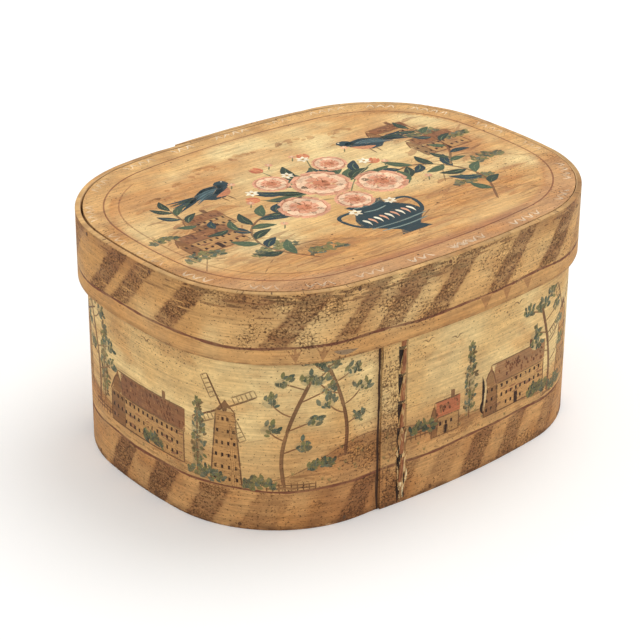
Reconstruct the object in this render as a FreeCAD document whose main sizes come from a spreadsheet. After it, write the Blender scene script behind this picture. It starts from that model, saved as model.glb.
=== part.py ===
import FreeCAD, Part
import math
import os

import Sketcher

# A laced oval box of bent wood with a lift-off lid.
# The frame has +Z up, +X along the box and its origin at the middle of the underside.
# The front, where the box's own lap is, faces -Y. The lid's lap is at the back.

os.makedirs("parts", exist_ok=True)
document = FreeCAD.newDocument("laced_oval_box")


# Driving dimensions, in millimetres and degrees

SIZES = {
    # the oval that the lid's outer face follows, seen from above
    "lid_half_length": 215.0,
    "lid_half_width": 166.0,
    "lid_corner_radius": 121.7,
    "side_turn": 8.0,            # half the angle that each long side's flat arc turns through
    "end_turn": 5.8,             # half the angle that each end's flat arc turns through
    # heights
    "box_height": 217.0,
    "lid_depth": 62.2,
    # the lid
    "lid_wall": 5.0,
    "lid_board_thick": 9.0,
    "lid_outer_end": 45.0,       # from the middle of the lapped side to the strip's outer end
    "lid_inner_end": 65.0,       # from the same middle, the other way, to the strip's hidden end
    "lid_lap_edge": 2.0,         # thickness that each end of the strip is shaved to
    "lid_dip": 26.0,             # stretch over which the strip sinks under its own outer end
    # the box
    "body_wall": 4.6,
    "bottom_board_thick": 9.0,
    "body_outer_end": 77.0,
    "body_inner_end": 48.0,
    "body_lap_edge": 1.5,
    "body_dip": 30.0,
    # clearances
    "lid_clearance": 0.7,        # between the lid and whatever stands out furthest inside it
    "lap_gap": 0.2,              # between the two layers of a lap
    "board_gap": 0.5,            # between a board's edge and the strip round it
    # the lacing, a flat split root
    "lacing_wide": 6.0,
    "lacing_thick": 0.8,
    "lacing_gap": 0.1,           # between the root and the wood that it lies on
    "slit_clearance": 0.3,       # round the root where it passes through a slit
    "lacing_from_end": 21.0,     # from a strip's outer end to the middle of the lacing
    "tuck": 3.6,                 # short pass on the inside between two long stitches
    "lacing_tail": 7.0,          # loose end of the root inside, above and below the last slits
    "body_first_slit": 20.0,
    "body_stitches": 7,
    "body_rim_margin": 13.0,     # wood left between the box's top slit and its upper edge
    "lid_first_slit": 10.0,
    "lid_stitches": 2,
    "lid_board_margin": 17.0,    # wood left between the lid's top slit and its board
    # the wooden pegs that hold the boards
    "peg_count": 14,
    "peg_radius": 1.6,
    "peg_length": 17.0,
    "peg_clearance": 0.1,
    "peg_from_dip": 5.0,         # from the start of a strip's dip to the first peg
    "peg_from_joint": 1.5,       # wood left between a peg's hole and where two arcs of a strip meet
}

sheet = document.addObject("Spreadsheet::Sheet", "Sizes")
for row, (alias, value) in enumerate(SIZES.items(), start=1):
    sheet.set(f"A{row}", alias)
    sheet.set(f"B{row}", str(value))
    sheet.setAlias(f"B{row}", alias)
document.recompute()


def size(alias):
    return float(sheet.get(alias))


# The oval

class Oval:
    """A smooth oval of eight arcs: flat ones along its sides and ends, and tighter ones at its corners.

    A station is a distance along the outline from the middle of the lapped side, positive towards +X.
    An inset is a distance inwards from the outline.
    """

    def __init__(self, half_length, half_width, corner, middle_y=0.0, lap_at_back=False):
        self.flip = -1 if lap_at_back else 1
        self.middle = FreeCAD.Vector(0, middle_y, 0)
        side_turn = math.radians(size("side_turn"))
        end_turn = math.radians(size("end_turn"))
        # The corner's centre lies on the line to each neighbouring arc's centre. That gives two equations
        # in how much larger the side's and the end's radii are than the corner's.
        side_lift = 1 - math.cos(side_turn)
        end_lift = 1 - math.cos(end_turn)
        along = half_length - corner
        across = half_width - corner
        share = math.sin(side_turn) * math.sin(end_turn) - side_lift * end_lift
        side_extra = (along * math.sin(end_turn) - across * end_lift) / share
        end_extra = (across * math.sin(side_turn) - along * side_lift) / share
        side = corner + side_extra
        end = corner + end_extra
        side_centre = side - half_width
        end_centre = end - half_length
        corner_x = side_extra * math.sin(side_turn)
        corner_y = end_extra * math.sin(end_turn)
        corner_turn = math.pi / 2 - side_turn - end_turn
        # Each arc: its centre, its radius, the direction in which it starts and the angle that it turns.
        down = -math.pi / 2
        up = math.pi / 2
        self.arcs = [
            (0, side_centre, side, down, side_turn),
            (corner_x, -corner_y, corner, down + side_turn, corner_turn),
            (-end_centre, 0, end, -end_turn, 2 * end_turn),
            (corner_x, corner_y, corner, end_turn, corner_turn),
            (0, -side_centre, side, up - side_turn, 2 * side_turn),
            (-corner_x, corner_y, corner, up + side_turn, corner_turn),
            (end_centre, 0, end, math.pi - end_turn, 2 * end_turn),
            (-corner_x, -corner_y, corner, math.pi + end_turn, corner_turn),
            (0, side_centre, side, 3 * up - side_turn, side_turn),
        ]
        self.length = sum(radius * turn for _, _, radius, _, turn in self.arcs)

    def place(self, station, inset=0.0):
        """The point at a station and inset, and the direction inwards there."""
        left = station % self.length
        for centre_x, centre_y, radius, start, turn in self.arcs:
            if left <= radius * turn:
                break
            left -= radius * turn
        angle = start + left / radius
        outwards = FreeCAD.Vector(math.cos(angle), self.flip * math.sin(angle), 0)
        centre = self.middle + FreeCAD.Vector(centre_x, self.flip * centre_y, 0)
        return centre + outwards * (radius - inset), outwards * -1

    def point(self, station, inset=0.0):
        return self.place(station, inset)[0]

    def seams(self, first, last):
        """The stations strictly between two others where one arc meets the next."""
        found = []
        for lap in (-1, 0, 1):
            station = lap * self.length
            for _, _, radius, _, turn in self.arcs:
                found.append(station)
                station += radius * turn
        low = min(first, last) + 1e-6
        high = max(first, last) - 1e-6
        return sorted((s for s in found if low < s < high), reverse=first > last)

    def run(self, first, first_inset, last, last_inset):
        """Arcs between two stations, whose inset changes evenly from one to the other."""
        def inset_at(station):
            return first_inset + (last_inset - first_inset) * (station - first) / (last - first)

        stops = [first] + self.seams(first, last) + [last]
        edges = []
        for here, there in zip(stops, stops[1:]):
            through = [self.point(s, inset_at(s)) for s in (here, (here + there) / 2, there)]
            edges.append(Part.Arc(*through))
        return edges

    def sink(self, first, first_inset, last, last_inset):
        """Two arcs that leave one inset gently and reach another one gently."""
        def through(part):
            station = first + (last - first) * part
            eased = part * part * (3 - 2 * part)
            return self.point(station, first_inset + (last_inset - first_inset) * eased)

        return [Part.Arc(through(0.0), through(0.25), through(0.5)),
                Part.Arc(through(0.5), through(0.75), through(1.0))]


# Outlines, each a closed chain of arcs and lines seen from above

def strip_outline(oval, wall, outer_end, inner_end, lap_edge, dip):
    """A strip bent once round the oval, whose shaved outer end laps over its shaved inner end."""
    gap = size("lap_gap")
    under = lap_edge + gap
    finish = oval.length - outer_end
    dip_from = finish - dip
    tip = oval.length + inner_end
    edges = oval.run(-outer_end, 0, dip_from, 0)
    edges += oval.sink(dip_from, 0, finish, under)
    edges += oval.run(finish, under, tip, wall + gap)
    edges += [Part.LineSegment(oval.point(tip, wall + gap), oval.point(tip, wall + under))]
    edges += oval.run(tip, wall + under, finish, wall + under)
    edges += oval.sink(finish, wall + under, dip_from, wall)
    edges += oval.run(dip_from, wall, inner_end, wall)
    edges += oval.run(inner_end, wall, -outer_end, lap_edge)
    edges += [Part.LineSegment(oval.point(-outer_end, lap_edge), oval.point(-outer_end, 0))]
    return edges


def board_outline(oval, wall, outer_end, inner_end, lap_edge, dip):
    """A board that fits inside such a strip, cut back where the lap is thicker."""
    inset = wall + size("board_gap")
    under = lap_edge + size("lap_gap")
    finish = oval.length - outer_end
    dip_from = finish - dip
    step = inner_end + size("board_gap")
    edges = oval.run(step, inset, dip_from, inset)
    edges += oval.sink(dip_from, inset, finish, inset + under)
    edges += oval.run(finish, inset + under, oval.length + step, inset + under)
    edges += [Part.LineSegment(oval.point(step, inset + under), oval.point(step, inset))]
    return edges


def root_outline(path, thickness):
    """The side view of a flat root that follows a path, its corners mitred."""
    def normal(here, there):
        along = there - here
        return FreeCAD.Vector(-along.y, along.x, 0).normalize()

    normals = [normal(here, there) for here, there in zip(path, path[1:])]
    offsets = [normals[0]]
    for before, after in zip(normals, normals[1:]):
        offsets.append((before + after) / (1 + before.dot(after)))
    offsets.append(normals[-1])
    left = [point + offset * (thickness / 2) for point, offset in zip(path, offsets)]
    right = [point - offset * (thickness / 2) for point, offset in zip(path, offsets)]
    corners = left + right[::-1]
    return [Part.LineSegment(a, b) for a, b in zip(corners, corners[1:] + corners[:1])]


# Makers of the document's objects

def make_pad(name, plane, outline, length):
    """A body with one sketch, whose outline is worked out above and locked, padded to a bound length."""
    body = document.addObject("PartDesign::Body", name)
    sketch = body.newObject("Sketcher::SketchObject", name + "_outline")
    support = [item for item in body.Origin.OriginFeatures if item.Role == plane][0]
    sketch.AttachmentSupport = (support, "")
    sketch.MapMode = "FlatFace"
    sketch.addGeometry(outline)
    sketch.addConstraint([Sketcher.Constraint("Block", edge) for edge in range(len(outline))])
    pad = body.newObject("PartDesign::Pad", name + "_pad")
    pad.Profile = sketch
    pad.setExpression("Length", length)
    body.Tip = pad
    return body, pad


def make_lacing(name, oval, station, inside, marks, height):
    """One flat root sewn up the lap in long stitches outside and short tucks inside.

    It returns the root and the slits that it needs. inside is the inset of the lap's inner face, marks
    are the heights of the stitches' ends and height is where the strip's lower edge is.
    """
    thick = size("lacing_thick")
    inner = inside + size("lacing_gap") + thick / 2
    outer = -size("lacing_gap") - thick / 2
    tuck = size("tuck") / 2
    tail = size("lacing_tail")
    passes = [marks[-1]]
    path = [(inner, marks[-1] + tail), (inner, marks[-1]), (outer, marks[-1])]
    for mark in reversed(marks[1:-1]):
        passes += [mark + tuck, mark - tuck]
        path += [(outer, mark + tuck), (inner, mark + tuck), (inner, mark - tuck), (outer, mark - tuck)]
    passes += [marks[0]]
    path += [(outer, marks[0]), (inner, marks[0]), (inner, marks[0] - tail)]
    outline = root_outline([FreeCAD.Vector(depth, up, 0) for depth, up in path], thick)
    root, pad = make_pad(name, "YZ_Plane", outline, "Sizes.lacing_wide")
    pad.SideType = "Symmetric"

    foot, inwards = oval.place(station)
    across = inwards.cross(FreeCAD.Vector(0, 0, 1))
    turn = FreeCAD.Rotation(across, inwards, FreeCAD.Vector(0, 0, 1))
    root.Placement = FreeCAD.Placement(foot, turn)
    root.setExpression("Placement.Base.z", height)

    slits = []
    for number, mark in enumerate(passes, start=1):
        slit = document.addObject("Part::Box", f"{name}_slit_{number}")
        slit.setExpression("Length", "Sizes.lacing_wide + 2 * Sizes.slit_clearance")
        slit.setExpression("Height", "Sizes.lacing_thick + 2 * Sizes.slit_clearance")
        slit.Width = inside + 2 * thick
        half_wide = size("lacing_wide") / 2 + size("slit_clearance")
        corner = across * -half_wide - inwards * thick + foot
        slit.Placement = FreeCAD.Placement(corner, turn)
        slit.setExpression("Placement.Base.z",
                           f"{height} + {mark} - Sizes.lacing_thick / 2 - Sizes.slit_clearance")
        slits.append(slit)
    return root, slits


def peg_stations(oval, wall, outer_end, inner_end, lap_edge, dip):
    """Stations all round a strip, evenly spaced, then moved clear of where its arcs and its lap meet."""
    clear = size("peg_radius") + size("peg_clearance") + size("peg_from_joint")
    dip_from = -outer_end - dip
    first = dip_from - size("peg_from_dip")
    count = int(size("peg_count"))
    joints = oval.seams(first, first + oval.length)
    joints += [dip_from + dip / 2, -outer_end, inner_end, inner_end + size("board_gap")]
    stations = []
    for number in range(count):
        station = first + number * oval.length / count
        for joint in sorted(joints):
            if abs(station - joint) < clear:
                station = joint + math.copysign(clear, station - joint)
        stations.append(station)
    return stations


def make_pegs(name, oval, lap, height, clearance):
    """Pegs driven inwards all round the oval, or with a clearance the holes for them."""
    pegs = []
    for number, station in enumerate(peg_stations(oval, *lap), start=1):
        foot, inwards = oval.place(station)
        peg = document.addObject("Part::Cylinder", f"{name}_{number}")
        peg.setExpression("Radius", f"Sizes.peg_radius + {clearance}")
        peg.setExpression("Height", f"Sizes.peg_length + {clearance}")
        peg.Placement = FreeCAD.Placement(foot, FreeCAD.Rotation(FreeCAD.Vector(0, 0, 1), inwards))
        peg.setExpression("Placement.Base.z", height)
        pegs.append(peg)
    return pegs


def make_group(name, members):
    group = document.addObject("Part::Compound", name)
    group.Links = members
    return group


def make_cut(name, base, tool):
    cut = document.addObject("Part::Cut", name)
    cut.Base = base
    cut.Tool = tool
    cut.Refine = False
    return cut


def slit_heights(first, last, stitches):
    """Heights of the stitches' ends, evenly spaced between the lowest and the highest."""
    return [first + (last - first) * number / stitches for number in range(int(stitches) + 1)]


# The two ovals: the lid's, and the box's, which leaves room inside the lid for lacing and lap

lid_oval = Oval(size("lid_half_length"), size("lid_half_width"), size("lid_corner_radius"), lap_at_back=True)
lacing_stand = size("lacing_gap") + size("lacing_thick")
overhang = size("lid_wall") + lacing_stand + size("lid_clearance")
lid_swell = size("lid_lap_edge") + size("lap_gap")
body_swell = size("body_lap_edge") + size("lap_gap")
body_oval = Oval(size("lid_half_length") - overhang,
                 size("lid_half_width") - overhang - lid_swell / 2,
                 size("lid_corner_radius") - overhang,
                 middle_y=-lid_swell / 2)
body_lap = (size("body_wall"), size("body_outer_end"), size("body_inner_end"),
            size("body_lap_edge"), size("body_dip"))
lid_lap = (size("lid_wall"), size("lid_outer_end"), size("lid_inner_end"),
           size("lid_lap_edge"), size("lid_dip"))
body_height = size("box_height") - size("lid_board_thick")


# The box: its strip, bottom board, lacing and pegs

BOTTOM_PEGS_UP = "Sizes.bottom_board_thick / 2"

body_strip, _ = make_pad("body_strip", "XY_Plane", strip_outline(body_oval, *body_lap),
                         "Sizes.box_height - Sizes.lid_board_thick")
body_marks = slit_heights(size("body_first_slit"), body_height - size("body_rim_margin"), size("body_stitches"))
body_lacing, body_slits = make_lacing("body_lacing", body_oval,
                                      size("lacing_from_end") - size("body_outer_end"),
                                      size("body_wall") + body_swell, body_marks, "0")
bottom_pegs = make_group("bottom_pegs", make_pegs("bottom_peg", body_oval, body_lap, BOTTOM_PEGS_UP, "0"))
bottom_holes = make_pegs("bottom_peg_hole", body_oval, body_lap, BOTTOM_PEGS_UP, "Sizes.peg_clearance")
body_openings = make_group("body_strip_openings", body_slits + bottom_holes)
body_band = make_cut("body_band", body_strip, body_openings)
bottom_blank, _ = make_pad("bottom_blank", "XY_Plane", board_outline(body_oval, *body_lap),
                           "Sizes.bottom_board_thick")
bottom_board = make_cut("bottom_board", bottom_blank, make_group("bottom_board_holes", bottom_holes))


# The lid: its strip, board, lacing and pegs

LID_UP = "Sizes.box_height - Sizes.lid_depth"
LID_BOARD_UP = "Sizes.box_height - Sizes.lid_board_thick"
LID_PEGS_UP = "Sizes.box_height - Sizes.lid_board_thick / 2"

lid_strip, _ = make_pad("lid_strip", "XY_Plane", strip_outline(lid_oval, *lid_lap), "Sizes.lid_depth")
lid_strip.setExpression("Placement.Base.z", LID_UP)
lid_last_slit = size("lid_depth") - size("lid_board_thick") - size("lid_board_margin")
lid_marks = slit_heights(size("lid_first_slit"), lid_last_slit, size("lid_stitches"))
lid_lacing, lid_slits = make_lacing("lid_lacing", lid_oval,
                                    size("lacing_from_end") - size("lid_outer_end"),
                                    size("lid_wall") + lid_swell, lid_marks, LID_UP)
lid_pegs = make_group("lid_pegs", make_pegs("lid_peg", lid_oval, lid_lap, LID_PEGS_UP, "0"))
lid_holes = make_pegs("lid_peg_hole", lid_oval, lid_lap, LID_PEGS_UP, "Sizes.peg_clearance")
lid_openings = make_group("lid_strip_openings", lid_slits + lid_holes)
lid_band = make_cut("lid_band", lid_strip, lid_openings)
lid_blank, _ = make_pad("lid_blank", "XY_Plane", board_outline(lid_oval, *lid_lap), "Sizes.lid_board_thick")
lid_blank.setExpression("Placement.Base.z", LID_BOARD_UP)
lid_board = make_cut("lid_board", lid_blank, make_group("lid_board_holes", lid_holes))


# Check every object and write each piece

PIECES = [body_band, bottom_board, body_lacing, bottom_pegs, lid_band, lid_board, lid_lacing, lid_pegs]

document.recompute()
for item in document.Objects:
    if "Invalid" in item.State or "Error" in item.State:
        raise RuntimeError(f"{item.Label} failed to build: {item.State}")
for piece in PIECES:
    if piece.Shape.isNull() or not piece.Shape.isValid():
        raise RuntimeError(f"{piece.Label} has no valid shape")
    piece.Shape.exportStep(f"parts/{piece.Label}.step")
    box = piece.Shape.BoundBox
    print(f"{piece.Label}: {len(piece.Shape.Solids)} solids, {piece.Shape.Volume / 1000:.1f} cm3, "
          f"x {box.XMin:.1f} to {box.XMax:.1f}, y {box.YMin:.1f} to {box.YMax:.1f}, "
          f"z {box.ZMin:.1f} to {box.ZMax:.1f}")
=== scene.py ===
# %% [markdown]
# # A painted oval box of bent wood
# The real box is two strips of split spruce. Each was steamed, bent once round an oval form and sewn where
# its ends overlap with a flat split root. A board closes the bottom, another closes the lid, and small
# wooden pegs hold them. Then the whole outside was painted in thin, matt distemper, which is pigment in glue.
#
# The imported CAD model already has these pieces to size. A CAD band is a few hundred long thin triangles, so
# it can't carry a painting. This script models each painted piece again with a fine, even mesh in the same
# place, keeps the CAD pieces that are right as they are, and gives every piece its own finish.

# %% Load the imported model
import functools
import math

import bpy
import numpy as np
from mathutils import Matrix, Vector
from mathutils.kdtree import KDTree


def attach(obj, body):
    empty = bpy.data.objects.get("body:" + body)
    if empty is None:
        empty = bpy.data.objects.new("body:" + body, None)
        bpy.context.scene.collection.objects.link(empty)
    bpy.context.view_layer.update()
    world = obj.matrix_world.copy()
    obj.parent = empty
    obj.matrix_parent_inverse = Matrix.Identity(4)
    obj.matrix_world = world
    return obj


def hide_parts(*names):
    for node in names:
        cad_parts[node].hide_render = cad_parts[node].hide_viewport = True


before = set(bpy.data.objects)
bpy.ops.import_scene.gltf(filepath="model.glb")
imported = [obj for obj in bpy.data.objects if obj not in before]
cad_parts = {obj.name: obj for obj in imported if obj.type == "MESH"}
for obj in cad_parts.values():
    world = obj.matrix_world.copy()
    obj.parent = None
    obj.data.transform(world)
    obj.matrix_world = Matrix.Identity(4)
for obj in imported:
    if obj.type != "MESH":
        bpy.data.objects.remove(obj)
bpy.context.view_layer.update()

MM = 0.001
print("CAD nodes:", sorted(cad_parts))

# %% [markdown]
# ## The camera
# The photograph was taken with a long lens from the front left, looking down. A fit of the lid's rim and of
# both lower edges to the photograph gave the place, the turn and the lens. The roll is under half a degree.

# %% Place the camera
CAMERA_PLACE = (-1.1235, -1.3221, 0.9534)
CAMERA_TURN = -40.05        # degrees round the box from the middle of its front
CAMERA_DOWN = 26.42         # degrees below level
CAMERA_ROLL = 0.42
CAMERA_LENS = 124           # on a sensor 36 mm wide

bpy.ops.object.camera_add(location=CAMERA_PLACE)
camera = bpy.context.object
camera.name = "camera"
camera.data.lens = CAMERA_LENS
camera.data.sensor_width = 36
turned = Matrix.Rotation(math.radians(CAMERA_TURN), 4, "Z")
tilted = Matrix.Rotation(math.radians(90 - CAMERA_DOWN), 4, "X")
rolled = Matrix.Rotation(math.radians(CAMERA_ROLL), 4, "Z")
camera.matrix_world = Matrix.Translation(CAMERA_PLACE) @ turned @ tilted @ rolled
bpy.context.scene.camera = camera
print("camera looks along", [round(value, 3) for value in camera.matrix_world.to_3x3() @ Vector((0, 0, -1))])

# %% [markdown]
# ## Light and floor
# The photograph was taken in soft, even studio light on white. A pale world gives most of the light, and one
# large lamp high on the right makes the left end a little darker and lays a soft shadow to the left. Together
# they light the top about as strongly as a plain white sky would, so a colour renders about as it is written.

# %% Light the scene
WORLD_LIGHT = 0.86
LAMP_PLACE = (1.3, 0.1, 3.2)
LAMP_AIM = Vector((0, 0, 0.1))
LAMP_WIDE = 2.2
LAMP_WATTS = 38.0

world = bpy.data.worlds.new("studio")
bpy.context.scene.world = world
world.use_nodes = True
world.node_tree.nodes["Background"].inputs["Color"].default_value = (1.0, 0.995, 0.985, 1)
world.node_tree.nodes["Background"].inputs["Strength"].default_value = WORLD_LIGHT

bpy.ops.object.light_add(type="AREA", location=LAMP_PLACE)
lamp = bpy.context.object
lamp.name = "softbox"
lamp.data.shape = "DISK"
lamp.data.size = LAMP_WIDE
lamp.data.energy = LAMP_WATTS
lamp.rotation_euler = (LAMP_AIM - lamp.location).to_track_quat("-Z", "Y").to_euler()
bpy.context.scene.view_settings.view_transform = "Standard"

# %% [markdown]
# Every material in this script is built with one small function. It adds a node, gives it its settings, and
# gives each input a number, a colour or a link from another node. A node that is used often is named by its
# main choice alone, such as MULTIPLY. Colours are the hex codes that a painter would pick on a screen, so one
# more function turns them to the linear values that shaders use.

# %% Helpers for materials
CHOICES = {name: ("Math", "operation") for name in
           ("ADD", "SUBTRACT", "MULTIPLY", "DIVIDE", "MINIMUM", "MAXIMUM", "ABSOLUTE", "FRACT")}
CHOICES["SMOOTHSTEP"] = ("MapRange", "interpolation_type")
CHOICES["RGBA"] = ("Mix", "data_type")


def colour(code):
    """An sRGB hex colour as linear red, green, blue and a full alpha."""
    parts = np.array([int(code[at:at + 2], 16) for at in (1, 3, 5)]) / 255
    linear = np.where(parts <= 0.04045, parts / 12.92, ((parts + 0.055) / 1.055) ** 2.4)
    return (*linear, 1.0)


def add_node(tree, kind, *inputs, out=None, **settings):
    """Adds a shader node and returns the output to link from. Inputs come in order, or by name in a dict."""
    name, choice = CHOICES.get(kind, (kind, None))
    node = tree.nodes.new("ShaderNode" + name)
    if choice:
        settings[choice] = kind
    for setting, value in settings.items():
        setattr(node, setting, value)
    sockets = [socket for socket in node.inputs if socket.enabled]
    if inputs and isinstance(inputs[0], dict):
        sockets, inputs = [node.inputs[name] for name in inputs[0]], inputs[0].values()
    for socket, value in zip(sockets, inputs):
        if isinstance(value, bpy.types.NodeSocket):
            tree.links.new(value, socket)
        else:
            socket.default_value = value
    if out:
        return node.outputs[out]
    return next((socket for socket in node.outputs if socket.enabled), node)


def new_material(name):
    """An empty material, and the function above for its node tree."""
    material = bpy.data.materials.new(name)
    material.use_nodes = True
    material.node_tree.nodes.clear()
    return material, functools.partial(add_node, material.node_tree)


# %% Lay the floor
FLOOR_WHITE = "#F6F6F5"
FLOOR_LIFT = 0.10           # added only for the camera, so that the floor reads as studio white

bpy.ops.mesh.primitive_plane_add(size=12)
floor = bpy.context.object
floor.name = "floor"
paper, add = new_material("matt_white_backdrop_paper")
lift = add("MULTIPLY", add("LightPath", out="Is Camera Ray"), FLOOR_LIFT)
surface = add("BsdfDiffuse", {"Color": colour(FLOOR_WHITE)})
glow = add("Emission", {"Color": (1, 1, 1, 1), "Strength": lift})
add("OutputMaterial", {"Surface": add("AddShader", surface, glow)})
floor.data.materials.append(paper)

# %% [markdown]
# ## Uneven colour, drawn in code
# Hand-laid paint is never one colour. Soft washes are stored on the mesh as a colour at each vertex, and a
# smooth noise makes them drift. It is worked out from a point's place alone, so it is the same in each run.

# %% Smooth noise for washes
def drift(along, up, spread, seed):
    """Smooth noise from 0 to 1 at each point. Its patches are about spread millimetres across."""
    def corner(column, row):
        value = np.sin(column * 127.1 + row * 311.7 + seed * 74.7) * 43758.5453
        return value - np.floor(value)

    total = weight = 0.0
    for octave in range(3):
        scale = spread / 2 ** octave
        across, high = np.asarray(along) / scale, np.asarray(up) / scale
        column, row = np.floor(across), np.floor(high)
        right, top = across - column, high - row
        right, top = right * right * (3 - 2 * right), top * top * (3 - 2 * top)
        low = corner(column, row) * (1 - right) + corner(column + 1, row) * right
        upper = corner(column, row + 1) * (1 - right) + corner(column + 1, row + 1) * right
        total = total + (low * (1 - top) + upper * top) / 2 ** octave
        weight += 1 / 2 ** octave
    return total / weight


def ramp(value, low, high):
    """0 below low, 1 above high, and smooth between. low may be the larger one."""
    share = np.clip((value - low) / (high - low), 0, 1)
    return share * share * (3 - 2 * share)


def coats(ground, *laid):
    """A ground colour with coats over it, each a colour and a share. Both may differ from point to point."""
    ground = np.asarray(ground)[..., :3]
    for tint, share in laid:
        share = np.asarray(share)[..., None]
        ground = ground * (1 - share) + np.asarray(tint)[..., :3] * share
    return ground


# %% [markdown]
# ## The oval
# A maker's oval isn't an ellipse: it has nearly straight sides and ends, joined by rounder corners. The CAD
# model draws it as eight arcs, so the same sum is done here. A place round the box is then one number, the
# distance along the outline from the middle of the front, which makes it easy to lay out stripes and scenes.

# %% Work out the eight arcs
SIDE_TURN = math.radians(8.0)
END_TURN = math.radians(5.8)
QUARTER = math.pi / 2


def oval_arcs(half_length, half_width, corner):
    """Each arc's centre, radius, first direction and turn, anticlockwise from the middle of the front."""
    along, across = half_length - corner, half_width - corner
    side_lift, end_lift = 1 - math.cos(SIDE_TURN), 1 - math.cos(END_TURN)
    share = math.sin(SIDE_TURN) * math.sin(END_TURN) - side_lift * end_lift
    side_extra = (along * math.sin(END_TURN) - across * end_lift) / share
    end_extra = (across * math.sin(SIDE_TURN) - along * side_lift) / share
    side, end = corner + side_extra, corner + end_extra
    corner_x, corner_y = side_extra * math.sin(SIDE_TURN), end_extra * math.sin(END_TURN)
    turn = QUARTER - SIDE_TURN - END_TURN
    return [(0, side - half_width, side, -QUARTER, SIDE_TURN),
            (corner_x, -corner_y, corner, SIDE_TURN - QUARTER, turn),
            (half_length - end, 0, end, -END_TURN, 2 * END_TURN),
            (corner_x, corner_y, corner, END_TURN, turn),
            (0, half_width - side, side, QUARTER - SIDE_TURN, 2 * SIDE_TURN),
            (-corner_x, corner_y, corner, QUARTER + SIDE_TURN, turn),
            (end - half_length, 0, end, math.pi - END_TURN, 2 * END_TURN),
            (-corner_x, -corner_y, corner, math.pi + END_TURN, turn),
            (0, side - half_width, side, 3 * QUARTER - SIDE_TURN, SIDE_TURN)]


def oval_length(arcs):
    return sum(arc[2] * arc[4] for arc in arcs)


def oval_point(arcs, place):
    """The point of the outline at a distance along it."""
    left = place % oval_length(arcs)
    for centre_x, centre_y, radius, start, turn in arcs:
        if left <= radius * turn:
            break
        left -= radius * turn
    angle = start + left / radius
    return centre_x + radius * math.cos(angle), centre_y + radius * math.sin(angle)


# %% [markdown]
# ## A strip, before it is bent
# A strip has a painted face, a bare face and two shaved ends, one lapped over the other. Flat, it is easy to
# draw: X runs along it, Y goes into the wood and Z goes up. One record keeps what both strips need, and says
# how deep each face lies at any place along the strip: the outer end thins out, the inner end sinks under it.

# %% Describe the two strips
LAP_GAP = 0.2
SKIN = 0.12                 # the painted face lies this far inside the CAD face, to leave room for marks


class Strip:
    """A bent strip's oval, its height and how its ends overlap, in millimetres."""

    def __init__(self, half_length, half_width, corner, middle_y, low, high, wall, outer_end, inner_end,
                 lap_edge, dip, lap_at_back):
        self.arcs = oval_arcs(half_length, half_width, corner)
        self.length = oval_length(self.arcs)
        self.middle_y, self.low, self.high, self.wall = middle_y, low, high, wall
        self.outer_end, self.inner_end, self.lap_edge, self.dip = outer_end, inner_end, lap_edge, dip
        self.back = lap_at_back
        self.first, self.last, self.seam = -outer_end, self.length + inner_end, -outer_end
        if lap_at_back:
            self.first, self.last = -self.length / 2 - inner_end, self.length / 2 + outer_end
            self.seam = outer_end - self.length / 2

    def station(self, along):
        """Distance from the middle of the lapped side, growing from the outer end to the inner one."""
        return self.length / 2 - along if self.back else along

    def step_down(self, station):
        """How far the strip has moved in, by the lap's edge and gap, before it goes under its outer end."""
        finish = self.length - self.outer_end
        return (self.lap_edge + LAP_GAP) * ramp(station, finish - self.dip, finish)

    def sink(self, station):
        """How far the strip's outer face has sunk to pass under its own outer end."""
        finish, tip = self.length - self.outer_end, self.length + self.inner_end
        deeper = (self.wall - self.lap_edge) * np.clip((station - finish) / (tip - finish), 0, 1)
        return self.step_down(station) + deeper

    def outer(self, along, up):
        """Depth of the painted face, which isn't quite even."""
        uneven = 0.10 * drift(along, up, 70, 3) + 0.05 * drift(along, up, 22, 5)
        return SKIN + self.sink(self.station(along)) + uneven

    def inner(self, along):
        """Depth of the bare inner face."""
        station = self.station(along)
        start = np.clip((station + self.outer_end) / (self.inner_end + self.outer_end), 0, 1)
        return self.lap_edge + (self.wall - self.lap_edge) * start + self.step_down(station)

    def strip_place(self, along):
        """A place on the outline, -half the length to half, as a place on the visible layer of the strip."""
        return np.where(np.asarray(along) < self.seam, np.asarray(along) + self.length, along)


BOX = Strip(208.4, 158.3, 115.1, -1.1, 0, 208, wall=4.6, outer_end=77, inner_end=48, lap_edge=1.5,
            dip=30, lap_at_back=False)
LID = Strip(215, 166, 121.7, 0, 154.8, 217, wall=5, outer_end=45, inner_end=65, lap_edge=2,
            dip=26, lap_at_back=True)
print(f"the box's strip is {BOX.last - BOX.first:.0f} mm long, the lid's {LID.last - LID.first:.0f} mm")

# %% [markdown]
# ## Bending
# A maker bends the strip round a form. Blender's Curve modifier does the same: the form is a closed Bezier
# curve through the eight arcs, and X on the flat piece becomes the distance along it. Two things matter. The
# curve has to be 3-D, because Blender may turn a 2-D one round, and a closed Bezier curve starts at its last
# point, so that is the one at the middle of the front.

# %% Make a form from an oval, and bend a piece round it
FORM_STEP = math.radians(12)


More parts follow.
